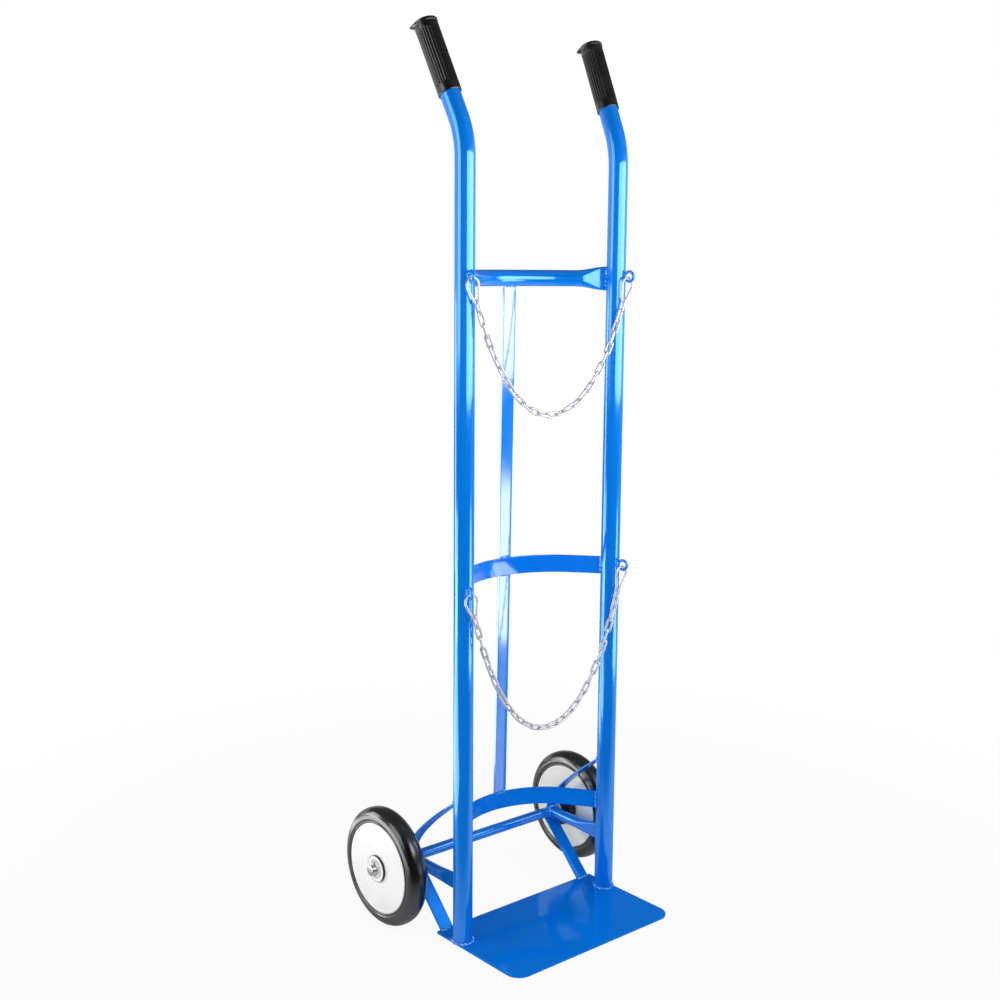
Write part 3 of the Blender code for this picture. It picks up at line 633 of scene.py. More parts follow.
def dress_grips():
    """A closed sleeve of radius R - d ((1 - cos(n t)) / 2)^2 on its ribbed length, plain at both ends.

    Round the top runs a collar with a small ear: e max(0, sin(t - a))^12, over the last few mm."""
    depth = GRIP_LENGTH - GRIP_CAP
    rim = GRIP_LENGTH - GRIP_DOME
    collar = GRIP_RADIUS + GRIP_COLLAR
    lower = (
        (UPRIGHT_REACH, depth), (UPRIGHT_REACH, 0.0006), (UPRIGHT_REACH + 0.0005, 0),
        (GRIP_RADIUS - 0.0006, 0),
    )
    body = line((GRIP_RADIUS, 0.0007), (GRIP_RADIUS, rim - 0.0048), 100)
    upper = (
        (collar - 0.0002, rim - 0.0042), (collar, rim - 0.0036), (collar, rim - 0.0006),
        (collar - 0.0004, rim), (0.93 * GRIP_RADIUS, rim + 0.0004), (0.86 * GRIP_RADIUS, rim + 0.0004),
        (0.80 * GRIP_RADIUS, rim + 0.0008), (0.62 * GRIP_RADIUS, rim + 0.0017),
        (0.40 * GRIP_RADIUS, rim + 0.0022), (0.18 * GRIP_RADIUS, GRIP_LENGTH),
    )
    profile = np.concatenate((lower, body, upper))
    radius, height = profile[:, :1], profile[:, 1:]
    outer = radius > GRIP_RADIUS - 0.0003
    turn = np.linspace(0, 2 * math.pi, GRIP_RIBS * GRIP_RIB_POINTS, endpoint=False)
    above_foot = smooth((height - GRIP_PLAIN_BAND) / GRIP_RIB_FADE)
    below_top = smooth((rim - GRIP_PLAIN_BAND - height) / GRIP_RIB_FADE)
    ribbed = above_foot * below_top * outer
    grooves = GRIP_RIB_DEPTH * ribbed * (0.5 - 0.5 * np.cos(GRIP_RIBS * turn)) ** 2
    risen = smooth((height - rim + GRIP_EAR_FOOT) / GRIP_EAR_RISE)
    ear = risen * np.clip(np.sin(turn - GRIP_EAR_TURN), 0, 1) ** 12
    outwards = np.clip((radius - 0.7 * GRIP_RADIUS) / (0.3 * GRIP_RADIUS), 0, 1)
    reach = radius - grooves + GRIP_EAR * ear * outwards
    start = HANDLE_LENGTH + GAP - depth
    for name, sign in SIDES:
        out, along, normal = handle_axes(sign)
        back = np.cross(along, normal)
        back = back if back @ out > 0 else -back
        centre = np.array((sign * HALF_SPACING, 0, BEND_HEIGHT)) + along * (start + height)
        spokes = np.cos(turn)[:, None] * normal + np.sin(turn)[:, None] * back
        grid = centre[:, None] + reach[..., None] * spokes
        piece(f"{name}_grip_sleeve", [shell(grid)], GRIP, "frame", [f"{name}_grip"])


def dress_toe_plate():
    """The plate's outline at eased insets: rows from the underside, round the edge, to the top face."""
    half = PLATE_WIDTH / 2
    quarter = math.pi / 2
    rear = PLATE_REAR - PLATE_REAR_CORNER
    front = PLATE_FRONT_CORNER - PLATE_FRONT
    corners = (
        ((half - PLATE_REAR_CORNER, rear), PLATE_REAR_CORNER, 0, 6),
        ((PLATE_REAR_CORNER - half, rear), PLATE_REAR_CORNER, quarter, 6),
        ((PLATE_FRONT_CORNER - half, front), PLATE_FRONT_CORNER, 2 * quarter, 24),
        ((half - PLATE_FRONT_CORNER, front), PLATE_FRONT_CORNER, 3 * quarter, 24),
    )
    steps = 6
    section = ((0.01, 0), (0, 0), (0, PLATE_THICKNESS), (0.01, PLATE_THICKNESS))
    edge = eased_corners(section, PLATE_EDGE, steps)[steps:3 * steps]
    rows = []
    for inset, height in edge:
        flat = np.concatenate([
            arc(centre, radius - inset, start, start + quarter, count)
            for centre, radius, start, count in corners
        ])
        rows.append(np.column_stack((flat, np.full(len(flat), height))))
    blue_piece("toe_plate", "sheet", shell(np.array(rows)), SHEET_BLUE)


def bow_turn(sag):
    """The angle at which a crosspiece's straight leg runs into its arc, found by halving."""
    low, high = 0, math.pi / 2
    for _ in range(60):
        turn = (low + high) / 2
        tangent = HALF_SPACING - BOW_LEG * math.sin(turn)
        reached = BOW_LEG * math.cos(turn) + tangent * (1 - math.sin(turn)) / math.cos(turn)
        low, high = (turn, high) if reached > sag else (low, turn)
    return low


def bow_radius(sag):
    """The arc's radius: the leg's end lies on it at that angle."""
    turn = bow_turn(sag)
    return (HALF_SPACING - BOW_LEG * math.sin(turn)) / math.cos(turn)


def bow_depth(sag, x):
    """How far behind the uprights the arc lies at x."""
    radius = bow_radius(sag)
    return sag - radius + math.sqrt(radius * radius - x * x)


def bow(sag, height):
    """A crosspiece's line: a straight leg from the left upright, a circular arc, and the right leg."""
    turn = bow_turn(sag)
    radius = bow_radius(sag)
    along = np.linspace(UPRIGHT_RADIUS - LEG_SINK, BOW_LEG, 40)[:-1]
    leg = np.stack((HALF_SPACING - along * math.sin(turn), along * math.cos(turn)), -1)
    middle = arc((0, sag - radius), radius, turn, math.pi - turn, 72)
    flat = np.concatenate((leg, middle, leg[::-1] * (-1, 1)))[::-1]
    return np.column_stack((flat, np.full(len(flat), height)))


def pressed_height(outside, width):
    """How tall a tube stands when it is pressed to a width: w + pi (d - w) / 2."""
    return width + math.pi * (outside - width) / 2


def crushed(path, outside, ends, run):
    """Oval sections along a path: round, but pressed flat over the run next to an end or both."""
    walked = walked_along(path)
    distance = np.minimum(walked, walked[-1] - walked) if ends == 2 else walked
    width = CRUSHED_THICKNESS + (outside - CRUSHED_THICKNESS) * smooth(distance / run)
    return oval(width, pressed_height(outside, width))


def dress_crosspieces():
    """The crushed top tube and the two bars on edge, all swept along bowed lines."""
    path = bow(CROSSBAR_SAG, CROSSBAR_HEIGHT)
    tube = swept(path, crushed(path, CROSSBAR_OD, 2, BOW_LEG - UPRIGHT_REACH), Z_AXIS)
    blue_piece("top_crossbar", "tube", shell(tube))
    cradles = (
        ("middle", MIDDLE_CRADLE_SAG, MIDDLE_CRADLE_HEIGHT, CRADLE_BLUE),
        ("lower", LOWER_CRADLE_SAG, LOWER_CRADLE_HEIGHT, SHEET_BLUE),
    )
    for name, sag, height, paint in cradles:
        path = bow(sag, height)
        strip = swept(path, bar(CRADLE_THICKNESS, CRADLE_HEIGHT), Z_AXIS)
        blue_piece(f"{name}_cradle", "bar", shell(strip), paint)


def strap_ends():
    """The back strap's top, just inside the crossbar, and its foot on the lower cradle's top edge."""
    crossbar = CROSSBAR_HEIGHT - CROSSBAR_OD / 2
    cradle = LOWER_CRADLE_HEIGHT + CRADLE_HEIGHT / 2
    top = (STRAP_OFFSET, bow_depth(CROSSBAR_SAG, STRAP_OFFSET), crossbar + 0.0004)
    foot = (STRAP_OFFSET, bow_depth(LOWER_CRADLE_SAG, STRAP_OFFSET), cradle)
    return np.array(top), np.array(foot)


def dress_back_strap():
    """A flat bar in a straight line from the crossbar to the lower cradle."""
    top, foot = strap_ends()
    strip = swept(line(top, foot, 24), bar(STRAP_THICKNESS, STRAP_WIDTH), X_AXIS)
    blue_piece("back_strap", "bar", shell(strip), STRAP_BLUE_PAINTED_HIGHLIGHT)


def upper_stay_line():
    """The curved stay's (y, z) line: s^3 P0 + 3 s^2 t P1 + 3 s t^2 P2 + t^3 P3."""
    top = np.array((UPRIGHT_REACH, UPPER_STAY_HEIGHT))
    lead = UPPER_STAY_LEAD * np.array((math.cos(UPPER_STAY_SLOPE), -math.sin(UPPER_STAY_SLOPE)))
    landing = np.array((AXLE_BACK, AXLE_HEIGHT + AXLE_RADIUS + GAP))
    fall = UPPER_STAY_FALL * np.array((-math.sin(UPPER_STAY_LEAN), math.cos(UPPER_STAY_LEAN)))
    t = np.linspace(0, 1, 60)[:, None]
    s = 1 - t
    return s**3 * top + 3 * s * s * t * (top + lead) + 3 * s * t * t * (landing + fall) + t**3 * landing


def flat_stay(node, path, width, first_cut, last_cut, paint):
    """A flat bar along a path in the upright plane; each end is cut at (axis, value)."""
    strip = swept(path, bar(FLAT_STAY_THICKNESS, width, STAY_EDGE), X_AXIS)
    cut_end(strip, 0, *first_cut)
    cut_end(strip, len(strip) - 1, *last_cut)
    blue_piece(node, "bar", shell(strip), paint)


def dress_stays():
    """The crushed stay tubes, the curved upper stays and the sloped lower ones."""
    rise = LOWER_STAY_TOP - PLATE_THICKNESS
    for name, sign in SIDES:
        x = sign * HALF_SPACING
        path = line((x, UPRIGHT_RADIUS - 0.0004, AXLE_HEIGHT), (x, AXLE_BACK - 0.005, AXLE_HEIGHT), 70)
        tube = swept(path, crushed(path, STAY_OD, 1, STAY_CRUSH), Z_AXIS)
        blue_piece(f"{name}_stay_tube", "bent", shell(tube))
        flat = upper_stay_line()
        path = np.column_stack((np.full(len(flat), x), flat))
        cuts = ((1, 0.7 * UPRIGHT_RADIUS), (2, AXLE_HEIGHT + AXLE_RADIUS - 0.0005))
        flat_stay(f"{name}_upper_stay", path, UPPER_STAY_WIDTH, *cuts, TUBE_BLUE)
        inner = x - sign * LOWER_STAY_INSET
        foot = (inner, LOWER_STAY_FOOT, PLATE_THICKNESS)
        path = line(foot, (inner, LOWER_STAY_FOOT + rise, LOWER_STAY_TOP), 20)
        cuts = ((2, PLATE_THICKNESS), (2, LOWER_STAY_TOP + 0.0010))
        flat_stay(f"{name}_lower_stay", path, LOWER_STAY_WIDTH, *cuts, SHEET_BLUE)


def dress_axle():
    """The painted bar between the stays and the bare ends that the wheels turn on."""
    centre = (0, AXLE_BACK, AXLE_HEIGHT)
    painted = lathe(line((AXLE_RADIUS, -INNER_WASHER_X), (AXLE_RADIUS, INNER_WASHER_X), 30), centre)
    blue_piece("axle", "painted_bar", shell(np.swapaxes(painted, 0, 1)))
    slim = AXLE_RADIUS - 0.0001
    profile = (
        (slim, INNER_WASHER_X - 0.001), (slim, AXLE_END_X - 0.001),
        (slim - 0.0004, AXLE_END_X - 0.0003), (slim - 0.001, AXLE_END_X),
    )
    for name, sign in SIDES:
        grid = np.swapaxes(lathe(profile, centre, sign), 0, 1)
        piece(f"{name}_axle_end", [shell(grid)], STEEL, "frame", ["axle"])


# Wheels
def tyre_outline():
    """The tyre's section: tread, round shoulders, a groove ring on the sidewall and a tongue inside."""
    half = TYRE_WIDTH / 2
    tread = TREAD_WIDTH / 2
    turn = np.linspace(0, math.pi / 2, 22)
    drop = TYRE_SHOULDER_DROP * (1 - np.cos(turn))
    shoulder = np.stack((WHEEL_RADIUS - drop, tread + (half - tread) * np.sin(turn)), -1)
    crown = line((WHEEL_RADIUS, 0.001), (WHEEL_RADIUS, tread), 4)[:-1]
    wall = np.array(TYRE_WALL) * (1, -1) + (0, half)
    seat = (
        (DISC_RADIUS + GAP, DISC_FACE - 0.0002), (DISC_RADIUS + GAP, TYRE_TONGUE_FACE),
        (TYRE_TONGUE_RADIUS, TYRE_TONGUE_FACE),
    )
    side = np.concatenate((crown, shoulder, wall, seat))
    return np.concatenate((side, side[::-1] * (1, -1)))


def disc_outline(hole, ease, side):
    """A disc's section: flat sheet with a rolled edge, on the wheel's outside (1) or inside (-1)."""
    back = DISC_FACE - DISC_SHEET
    crest = DISC_FACE + DISC_RIM_RISE
    corners = np.array((
        (hole, DISC_FACE), (DISC_RIM_FOOT, DISC_FACE), (DISC_RIM_INNER, crest), (DISC_RIM_OUTER, crest),
        (DISC_RADIUS, DISC_FACE - DISC_RIM_RISE), (DISC_RADIUS, back), (hole, back),
    ))
    return eased_corners(corners * (1, side), ease)


def ring_outline(radius, foot, top, ease, sunk=0.0):
    """A plain ring's section round the axle; its top may be sunk slightly towards the axle."""
    corners = ((HUB_BORE, foot), (radius, foot), (radius, top), (HUB_BORE, top - sunk))
    return eased_corners(corners, ease)


def hub_outline():
    """The hub's section: a core through both discs, and a stepped boss on the inner side."""
    boss_out = -DISC_FACE - GAP
    boss_in = boss_out - HUB_BOSS_LENGTH
    core_end = DISC_FACE + BOSS_HEIGHT - DISC_SHEET - GAP
    corners = (
        (HUB_BORE, boss_in), (HUB_LIP_RADIUS, boss_in), (HUB_LIP_RADIUS, boss_in + HUB_LIP),
        (HUB_STEP_RADIUS, boss_in + HUB_LIP), (HUB_BOSS_RADIUS, boss_in + HUB_STEP),
        (HUB_BOSS_RADIUS, boss_out), (HUB_CORE_RADIUS, boss_out),
        (HUB_CORE_RADIUS, core_end), (HUB_BORE, core_end),
    )
    return eased_corners(corners, 0.0012)


def dress_wheels():
    """Tyre, discs and hub of each wheel as turned outlines, and the washers and pin that hold it."""
    outer_disc = disc_outline(BOSS_RADIUS - DISC_LAP, OUTER_DISC_EASE, 1)
    inner_disc = disc_outline(HUB_CORE_RADIUS + GAP, INNER_DISC_EASE, -1)
    end = DISC_FACE + BOSS_HEIGHT
    collar = ring_outline(BOSS_RADIUS, DISC_FACE - COLLAR_SINK, end - COLLAR_DROP, COLLAR_EASE)
    cap = ring_outline(BOSS_RADIUS - CAP_INSET, end - CAP_SHEET, end, THIN_EASE, CAP_SUNK)
    washers = (
        ("inner_washer", INNER_WASHER_X, INNER_WASHER_THICKNESS),
        ("outer_washer", OUTER_WASHER_X, OUTER_WASHER_THICKNESS),
    )
    for name, sign in SIDES:
        centre = (sign * WHEEL_X, AXLE_BACK, AXLE_HEIGHT)
        body = f"{name}_wheel"
        pieces = (
            ("tyre", tyre_outline(), TYRE, "tyre_rubber"),
            ("outer_disc", outer_disc, WHITE, "white_paint"),
            ("hub_collar", collar, HUB, "black_plastic"),
            ("hub_cap", cap, WHITE, "white_paint"),
            ("inner_disc", inner_disc, CREAM, "cream_paint"),
            ("hub", hub_outline(), HUB, "black_plastic"),
        )
        for part, outline, material, slot in pieces:
            grid = lathe(outline, centre, sign)
            surface = shell(grid, wrap_rows=True)
            node = f"{name}_outer_disc" if part in ("hub_collar", "hub_cap") else f"{name}_{part}"
            piece(f"{name}_{part}_turned", [surface], material, body, [node], 50.0)
        for part, x, thickness in washers:
            outline = ring_outline(WASHER_RADIUS, 0, thickness, THIN_EASE)
            grid = lathe(outline, (sign * x, AXLE_BACK, AXLE_HEIGHT), sign, WASHER_STEPS)
            surface = shell(grid, wrap_rows=True)
            piece(f"{name}_{part}_turned", [surface], PALE_ZINC, "frame", [f"{name}_{part}"])
        dress_split_pin(name, sign)


def dress_split_pin(name, sign):
    """One wire: up a leg, round an eye above the axle, down the other leg; the tips spread apart."""
    middle = (0, AXLE_RADIUS + PIN_EYE_RISE)
    eye = arc(middle, PIN_EYE_RADIUS, math.radians(-102), math.radians(282), 40)[::-1]
    left = np.array(PIN_LEG)
    outline = np.concatenate((left, eye, left[::-1] * (-1, 1)))
    path = np.column_stack((np.zeros(len(outline)), outline)) + (sign * PIN_X, AXLE_BACK, AXLE_HEIGHT)
    grid = swept(path, ring(PIN_WIRE, 12), X_AXIS)
    piece(f"{name}_split_pin_wire", [shell(grid)], STEEL, "frame", [f"{name}_split_pin"])


# Chains
def eye_way(sign):
    """The level way that a chain eye points: to the front, turned outwards."""
    return np.array((sign * math.sin(EYE_TURN), -math.cos(EYE_TURN), 0))


def eye_centre(sign, height):
    """The middle of a chain eye's hole."""
    return np.array((sign * HALF_SPACING, 0, height)) + EYE_REACH * eye_way(sign)


def dress_eyes():
    """Rod rings: a circle of wire in the upright plane that points outwards from the tube."""
    turn = np.linspace(0, 2 * math.pi, 56, endpoint=False)[:, None]
    for level, height in EYE_HEIGHTS.items():
        for name, sign in SIDES:
            out = eye_way(sign)
            spokes = np.cos(turn) * out + np.sin(turn) * Z_AXIS
            path = eye_centre(sign, height) + EYE_MEAN_RADIUS * spokes
            grid = swept(path, ring(EYE_WIRE_RADIUS, 20), np.cross(out, Z_AXIS), closed=True)
            blue_piece(f"{level}_{name}_eye", "ring", shell(grid, wrap_rows=True))


def hanging(half_span, length, distance):
    """Points of a hanging chain: x = a asinh((s - L/2) / a) and z = a cosh(x / a) less the end's.

    The scale a is found by halving."""
    low, high = half_span / 40, half_span * 40
    for _ in range(80):
        scale = math.sqrt(low * high)
        low, high = (scale, high) if 2 * scale * math.sinh(half_span / scale) > length else (low, scale)
    x = scale * np.arcsinh((distance - length / 2) / scale)
    return np.stack((x, scale * np.cosh(x / scale) - scale * math.cosh(half_span / scale)), -1)


def wire_loop(outline, sides=12):
    """A closed wire as (across, along, normal), from its middle line's (across, along)."""
    path = np.column_stack((outline, np.zeros(len(outline))))
    return swept(path, ring(CHAIN_WIRE / 2, sides), Z_AXIS, closed=True)


def laid(template, starts, along, turn):
    """Copies of a wire loop: start + across * o + along * u + normal * n, turned about u."""
    up = unit(np.column_stack((along[:, 0], np.zeros(len(along)), along[:, 1])))
    wide = np.stack((up[:, 2], np.zeros(len(up)), -up[:, 0]), -1)
    turn = np.asarray(turn)[:, None]
    out = np.cos(turn) * wide + np.sin(turn) * np.cross(up, wide)
    axes = np.stack((out, up, np.cross(out, up)), 1)
    return starts[:, None, None] + np.einsum("abk,nkc->nabc", template, axes)


def link_outline():
    """A link's middle line: two half circles joined by straight sides."""
    radius = (CHAIN_LINK_WIDTH - CHAIN_WIRE) / 2
    straight = (CHAIN_PITCH + CHAIN_WIRE - LINK_SLACK) / 2 - radius
    top = arc((0, straight), radius, 0, math.pi, 12)
    sides = np.array(((-radius, 0.4 * straight), (-radius, -0.4 * straight)))
    return np.concatenate((top, sides, -top, -sides))


def pear_outline():
    """An end link's middle line: a wide crown at the origin, tangent lines and a small bottom."""
    between = PEAR_LENGTH - PEAR_TOP_RADIUS - PEAR_BOTTOM_RADIUS
    tilt = math.asin((PEAR_TOP_RADIUS - PEAR_BOTTOM_RADIUS) / between)
    crown = arc((0, -PEAR_TOP_RADIUS), PEAR_TOP_RADIUS, -tilt, math.pi + tilt, 30)
    low = (0, PEAR_BOTTOM_RADIUS - PEAR_LENGTH)
    bottom = arc(low, PEAR_BOTTOM_RADIUS, math.pi + tilt, 2 * math.pi - tilt, 16)
    left = line(crown[-1], bottom[0], 5)[1:-1]
    right = line(bottom[-1], crown[0], 5)[1:-1]
    return np.concatenate((crown, left, bottom, right))


def dress_chains():
    """Separate links along the hanging curve, each square to the next, and a pear link at each end."""
    for level, count in CHAIN_LINKS.items():
        crown = eye_centre(1, EYE_HEIGHTS[level]) - CROWN_DROP * Z_AXIS
        length = 2 * PEAR_REACH + count * CHAIN_PITCH
        joints = hanging(crown[0], length, PEAR_REACH + CHAIN_PITCH * np.arange(count + 1))
        k = np.arange(count)
        to_rest = smooth(k / CHAIN_TURN_LINKS)
        to_end = smooth((k - (count - 1 - CHAIN_TURN_LINKS)) / CHAIN_TURN_LINKS)
        end_turn = -CHAIN_REST_TURN if count % 2 else math.pi / 2 - CHAIN_REST_TURN
        wave = np.sin(math.pi * np.clip(CHAIN_TWIST_WAVES * k / count, 0, 2))
        lean = CHAIN_TWIST * wave * to_rest * (1 - to_end)
        turn = math.pi / 2 * (k + 1) + CHAIN_REST_TURN * to_rest + end_turn * to_end + lean
        middle = (joints[1:] + joints[:-1]) / 2
        places = np.column_stack((middle[:, 0], np.full(count, crown[1]), middle[:, 1] + crown[2]))
        links = laid(wire_loop(link_outline()), places, np.diff(joints, axis=0), turn)
        shells = [shell(grid, wrap_rows=True) for grid in links]
        body = f"{level}_chain_set"
        piece(f"{level}_chain_links", shells, ZINC, body, [f"{level}_chain"])
        for name, sign, joint in (("left", -1, joints[0]), ("right", 1, joints[-1])):
            start = np.array(((sign * crown[0], crown[1], crown[2]),))
            along = np.array(((sign * crown[0] - joint[0], -joint[1]),))
            grid = laid(wire_loop(pear_outline(), 16), start, along, (0.0,))[0]
            node = f"{level}_{name}_end_link"
            piece(f"{node}_wire", [shell(grid, wrap_rows=True)], ZINC, body, [node])


# Welds
def dress_welds():
    """Rippled beads along the seams where the frame's pieces meet."""
    beads = []
    for _, sign in SIDES:
        foot = ring(UPRIGHT_RADIUS + FOOT_BEAD_LIFT, BEAD_STEPS) + (sign * HALF_SPACING, 0)
        path = np.column_stack((foot, np.full(BEAD_STEPS, PLATE_THICKNESS + FOOT_BEAD_LIFT)))
        beads.append(bead(path, radius=FOOT_BEAD_RADIUS, closed=True))
        beads += end_beads(sign)
        beads += stay_beads(sign)
        for height in EYE_HEIGHTS.values():
            beads += bead_pair(sign, height, eye_way(sign), EYE_BEAD_APART, EYE_BEAD_TALL, EYE_BEAD_RADIUS)
    beads += strap_beads()
    piece("weld_beads", beads, WELD, "frame", crease=80.0)


def bead_pair(sign, height, way, apart, tall, radius=BEAD_RADIUS):
    """Two beads up an upright's surface, to both sides of what meets it from a level way."""
    middle = np.array((sign * HALF_SPACING, 0, height - tall / 2)) + way * (UPRIGHT_RADIUS + BEAD_SEAT)
    aside = apart * np.cross(way, Z_AXIS)
    feet = (middle - aside, middle + aside)
    return [bead(line(foot, foot + tall * Z_AXIS), X_AXIS, radius) for foot in feet]


def end_beads(sign):
    """A bead up each face of a crosspiece's or stay tube's end, where it meets the upright."""
    flat = CRUSHED_THICKNESS
    crossbar_tall, stay_tall = (pressed_height(d, flat) - END_BEAD_SHORT for d in (CROSSBAR_OD, STAY_OD))
    ends = [
        (bow_turn(CROSSBAR_SAG), CROSSBAR_HEIGHT, flat, crossbar_tall),
        (bow_turn(MIDDLE_CRADLE_SAG), MIDDLE_CRADLE_HEIGHT, CRADLE_THICKNESS, CRADLE_HEIGHT),
        (bow_turn(LOWER_CRADLE_SAG), LOWER_CRADLE_HEIGHT, CRADLE_THICKNESS, CRADLE_HEIGHT),
        (0, AXLE_HEIGHT, flat, stay_tall),
    ]
    beads = []
    for turn, height, thickness, tall in ends:
        along = np.array((-sign * math.sin(turn), math.cos(turn), 0))
        beads += bead_pair(sign, height, along, thickness / 2 + BEAD_LIFT, tall)
    return beads


def stay_beads(sign):
    """Beads at the stays' ends: on upright, axle and plate, and round the stay tube's end."""
    x = sign * HALF_SPACING
    wide = np.linspace(-UPPER_STAY_WIDTH / 2, UPPER_STAY_WIDTH / 2, 60)
    surface = np.sqrt(UPRIGHT_RADIUS**2 - wide**2)
    level = UPPER_STAY_HEIGHT + STAY_BEAD_RISE + STAY_BEAD_SLOPE * (UPRIGHT_REACH - surface)
    beads = [bead(np.column_stack((x + wide, surface + BEAD_LIFT, level)))]
    for back in STAY_BEAD_BACKS:
        height = AXLE_HEIGHT + math.sqrt(AXLE_RADIUS**2 - back * back) + BEAD_LIFT
        beads.append(level_bead(np.array((x, AXLE_BACK + back, height)), UPPER_STAY_WIDTH / 2))
    inner = x - sign * LOWER_STAY_INSET
    for back in PLATE_BEAD_BACKS:
        middle = np.array((inner, LOWER_STAY_FOOT + back, PLATE_THICKNESS + EDGE_BEAD_LIFT))
        beads.append(level_bead(middle, LOWER_STAY_WIDTH / 2, PLATE_BEAD_RADIUS))
    head = LOWER_STAY_FOOT + (LOWER_STAY_TOP - PLATE_THICKNESS) - STAY_HEAD_BEAD_BACK
    beads.append(level_bead(np.array((x, head, LOWER_STAY_TOP + BEAD_LIFT)), STAY_HEAD_BEAD_HALF))
    side, up = ring(STAY_OD / 2 + GAP, BEAD_STEPS).T
    back = AXLE_BACK - np.sqrt(np.clip((AXLE_RADIUS + GAP) ** 2 - up**2, 0, None))
    beads.append(bead(np.column_stack((x + side, back, AXLE_HEIGHT + up)), Y_AXIS, closed=True))
    return beads


def strap_beads():
    """Beads across the back strap: under the crossbar, at the middle cradle's edges and at its foot."""
    top, foot = strap_ends()
    beads = []
    half = STRAP_WIDTH / 2
    for edge in (-1, 1):
        beads.append(level_bead(top + (0, edge * STRAP_TOP_BEAD_BACK, BEAD_SEAT), half))
        low = foot + (0, edge * STRAP_FOOT_BEAD_BACK, BEAD_LIFT)
        beads.append(level_bead(low, half, STRAP_BEAD_RADIUS))
        height = MIDDLE_CRADLE_HEIGHT + edge * (CRADLE_HEIGHT / 2 + EDGE_BEAD_LIFT)
        share = (top[2] - height) / (top[2] - foot[2])
        middle = top + (foot - top) * share - (0, STRAP_THICKNESS / 2 + EDGE_BEAD_LIFT, 0)
        beads.append(level_bead(middle, 0.8 * half))
    return beads


dress_uprights()
dress_grips()
dress_toe_plate()
dress_crosspieces()
dress_back_strap()
dress_stays()
dress_axle()
dress_wheels()
dress_eyes()
dress_chains()
dress_welds()


# Studio and camera
CAMERA_PLACE = np.array((-1.4878, -1.6426, 1.0920))
CAMERA_YAW = math.radians(40.44)
CAMERA_PITCH = math.radians(9.6)
CAMERA_ROLL = math.radians(0.43)
CAMERA_LENS = 49.784  # for Blender's 36 mm sensor
CAMERA_FAR = 60.0
LEVEL_RIGHT = np.array((math.cos(CAMERA_YAW), -math.sin(CAMERA_YAW), 0))
LEVEL_VIEW = np.array((math.sin(CAMERA_YAW), math.cos(CAMERA_YAW), 0))
VIEW = math.cos(CAMERA_PITCH) * LEVEL_VIEW - math.sin(CAMERA_PITCH) * Z_AXIS
MIDDLE = np.array((0.0, 0.0, 0.75))
FILL_PLACE = 0.85 * Z_AXIS - 2.6 * LEVEL_VIEW - 0.4 * LEVEL_RIGHT
CARD_LIFT = 0.004
ROOM_GLOW = 0.85
ROOM_OVERHEAD_LOSS = 0.70
ROOM_FRONT_LOSS = 0.96
ROOM_MATT_GLOW = 0.26
FLOOR_HALF = 9.0
FLOOR_DROP = 0.0004
FLOOR_PALE = (0.86, 0.86, 0.86)
FLOOR_DARK = (0.03, 0.03, 0.03)
FLOOR_SHADOW = 0.09


def placed(name, data, *columns):
    """A new object of the data, set by the columns of its matrix: across, up, back and place."""
    item = bpy.data.objects.new(name, data)
    item.matrix_world = Matrix(np.vstack((np.column_stack(columns), (0, 0, 0, 1))).tolist())
    bpy.context.scene.collection.objects.link(item)
    return item


def place_camera():
    """A camera at the photograph's place, looking along its yaw, pitch and roll."""
    level_up = np.cross(LEVEL_RIGHT, VIEW)
    right = math.cos(CAMERA_ROLL) * LEVEL_RIGHT + math.sin(CAMERA_ROLL) * level_up
    up = math.cos(CAMERA_ROLL) * level_up - math.sin(CAMERA_ROLL) * LEVEL_RIGHT
    data = bpy.data.cameras.new("camera")
    data.lens = CAMERA_LENS
    data.clip_end = CAMERA_FAR
    bpy.context.scene.camera = placed("camera", data, right, up, -VIEW, CAMERA_PLACE)


def softbox(name, place, facing, upward, width, height, glow):
    """A rectangle of light; its power is pi * area * glow, so that its face glows at that level."""
    data = bpy.data.lights.new(name, "AREA")
    data.shape = "RECTANGLE"
    data.size = width
    data.size_y = height
    data.energy = math.pi * width * height * glow
    back = -unit(np.asarray(facing, float))
    across = unit(np.cross(upward, back))
    lamp = placed(name, data, across, np.cross(back, across), back, place)
    lamp.visible_camera = False
    return lamp


def round_cart(angle):
    """The level way out from the cart at an angle from the camera's side, to its right."""
    turn = math.radians(angle)
    return math.sin(turn) * LEVEL_RIGHT - math.cos(turn) * LEVEL_VIEW


def standing_box(name, angle, distance, width, low, high, glow):
    """A softbox standing upright at a distance from the cart, facing it."""
    way = round_cart(angle)
    place = distance * way + (low + high) / 2 * Z_AXIS
    return softbox(name, place, -way, Z_AXIS, width, high - low, glow)


def lying_card(name, angle, near, far, width, glow):
    """A bright card that lies just over the floor between two distances from the cart, facing up."""
    way = round_cart(angle)
    place = (near + far) / 2 * way + CARD_LIFT * Z_AXIS
    softbox(name, place, Z_AXIS, way, width, far - near, glow)


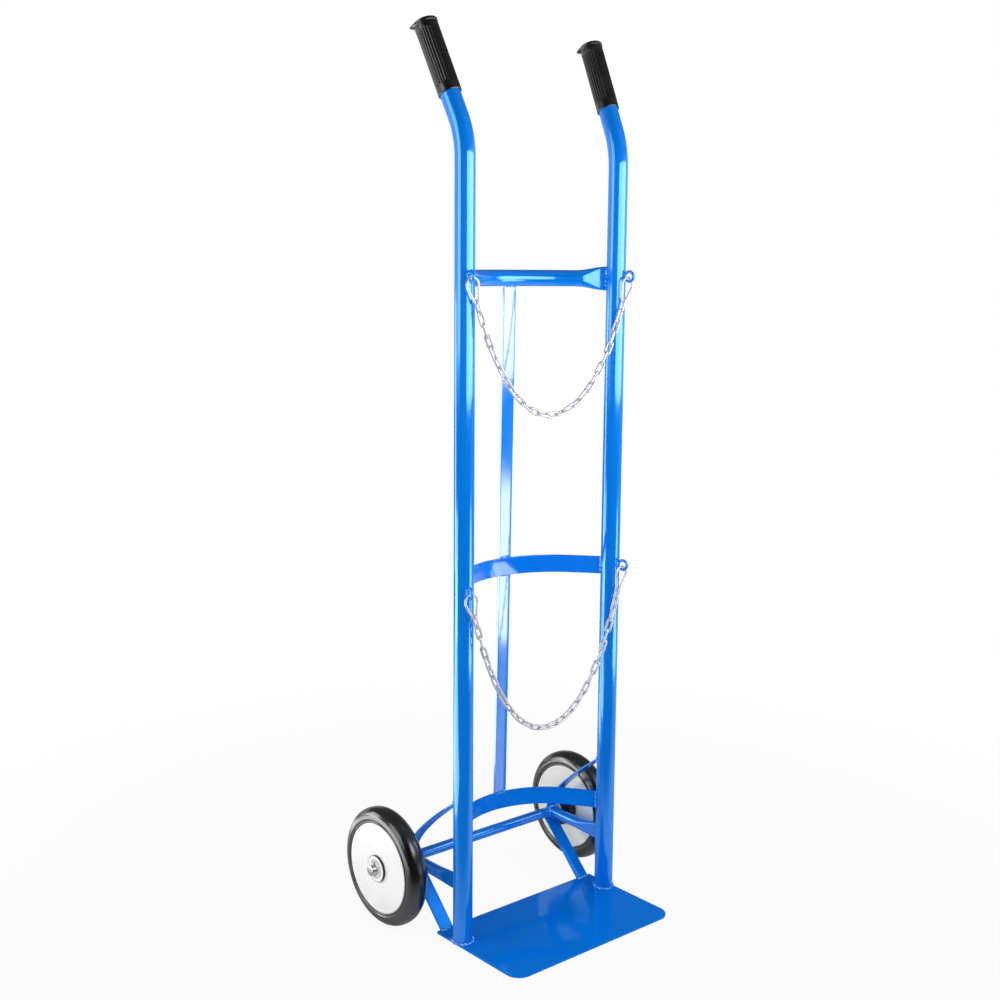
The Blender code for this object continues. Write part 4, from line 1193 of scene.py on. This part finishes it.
def light_studio():
    """Boxes and floor cards at both sides, which the tubes mirror, and two fills, which they don't."""
    standing_box("left_box", angle=-62, distance=2.6, width=1.5, low=0.78, high=2.40, glow=2.05)
    standing_box("left_low_box", angle=-86, distance=1.9, width=1.2, low=0.02, high=0.40, glow=3.0)
    standing_box("left_back_box", angle=-106, distance=2.0, width=0.7, low=0.20, high=1.00, glow=3.3)
    lying_card("left_card", angle=-90, near=0.66, far=3.0, width=1.3, glow=2.75)
    lying_card("right_card", angle=82, near=1.40, far=4.0, width=1.3, glow=3.5)
    softbox(
        "right_box", place=(0.3175, -0.87, 1.11), facing=(-0.2317, 0.9727, 0), upward=Z_AXIS,
        width=1.64, height=0.66, glow=3.8,
    )
    fills = (
        softbox("front_fill", FILL_PLACE, MIDDLE - FILL_PLACE, Z_AXIS, width=2.2, height=1.2, glow=2.5),
        standing_box("right_fill", angle=140, distance=2.6, width=1.8, low=0.30, high=1.90, glow=2.9),
    )
    for fill in fills:
        fill.visible_glossy = False


def light_room():
    """A room that is white to the camera; in what tubes mirror, dark overhead and on its side."""
    world = bpy.data.worlds.new("studio")
    world.use_nodes = True
    bpy.context.scene.world = world
    tree = world.node_tree
    sky = tree.nodes["Background"]
    way = Tone(tree, tree.nodes.new("ShaderNodeTexCoord").outputs["Generated"])
    seen, glossy, through = ray_kinds(tree, "Camera", "Glossy", "Transmission")
    front = way.along(-LEVEL_VIEW).between(0.30, 0.80)
    high = way.along(Z_AXIS).between(0.10, 0.30)
    room = (1 - ROOM_FRONT_LOSS * front) * (ROOM_GLOW - ROOM_OVERHEAD_LOSS * high)
    matt = (1 - glossy) * (1 - through) * ROOM_MATT_GLOW
    strength = seen + (1 - seen) * (glossy * room + through + matt)
    tree.links.new(strength.socket, sky.inputs["Strength"])
    sky.inputs["Color"].default_value = colour(1.0, 1.0, 1.0)


def lay_floor():
    """A floor that glows white to the camera and keeps part of the shadow near the cart.

    In what tubes mirror, it is dark on the camera's side."""
    mesh = bpy.data.meshes.new("floor")
    corners = np.array(((-1, -1, 0), (1, -1, 0), (1, 1, 0), (-1, 1, 0))) * FLOOR_HALF
    mesh.from_pydata(corners - FLOOR_DROP * Z_AXIS, [], [(0, 1, 2, 3)])
    material, shader, place = finish("floor_white")
    tree = material.node_tree
    tree.nodes.remove(shader)
    seen, glossy = ray_kinds(tree, "Camera", "Glossy")
    distance = place.make("ShaderNodeVectorMath", {"operation": "LENGTH"}, {0: place}, "Value")
    far = distance.between(0.6, 1.5)
    dark = glossy * place.along(-LEVEL_VIEW).between(0.05, 0.50)
    shade = dark.mixed(FLOOR_PALE, FLOOR_DARK)
    matt = seen.make("ShaderNodeBsdfDiffuse", {}, {"Color": shade})
    glow = seen.make("ShaderNodeEmission", {}, {"Color": colour(1.0, 1.0, 1.0), "Strength": 1.0})
    share = seen * (1 - FLOOR_SHADOW + FLOOR_SHADOW * far)
    both = seen.make("ShaderNodeMixShader", {}, {0: share, 1: matt, 2: glow})
    tree.links.new(both.socket, tree.nodes["Material Output"].inputs["Surface"])
    mesh.materials.append(material)
    floor = bpy.data.objects.new("floor", mesh)
    bpy.context.scene.collection.objects.link(floor)


place_camera()
light_studio()
light_room()
lay_floor()
bpy.context.scene.view_settings.view_transform = "Standard"
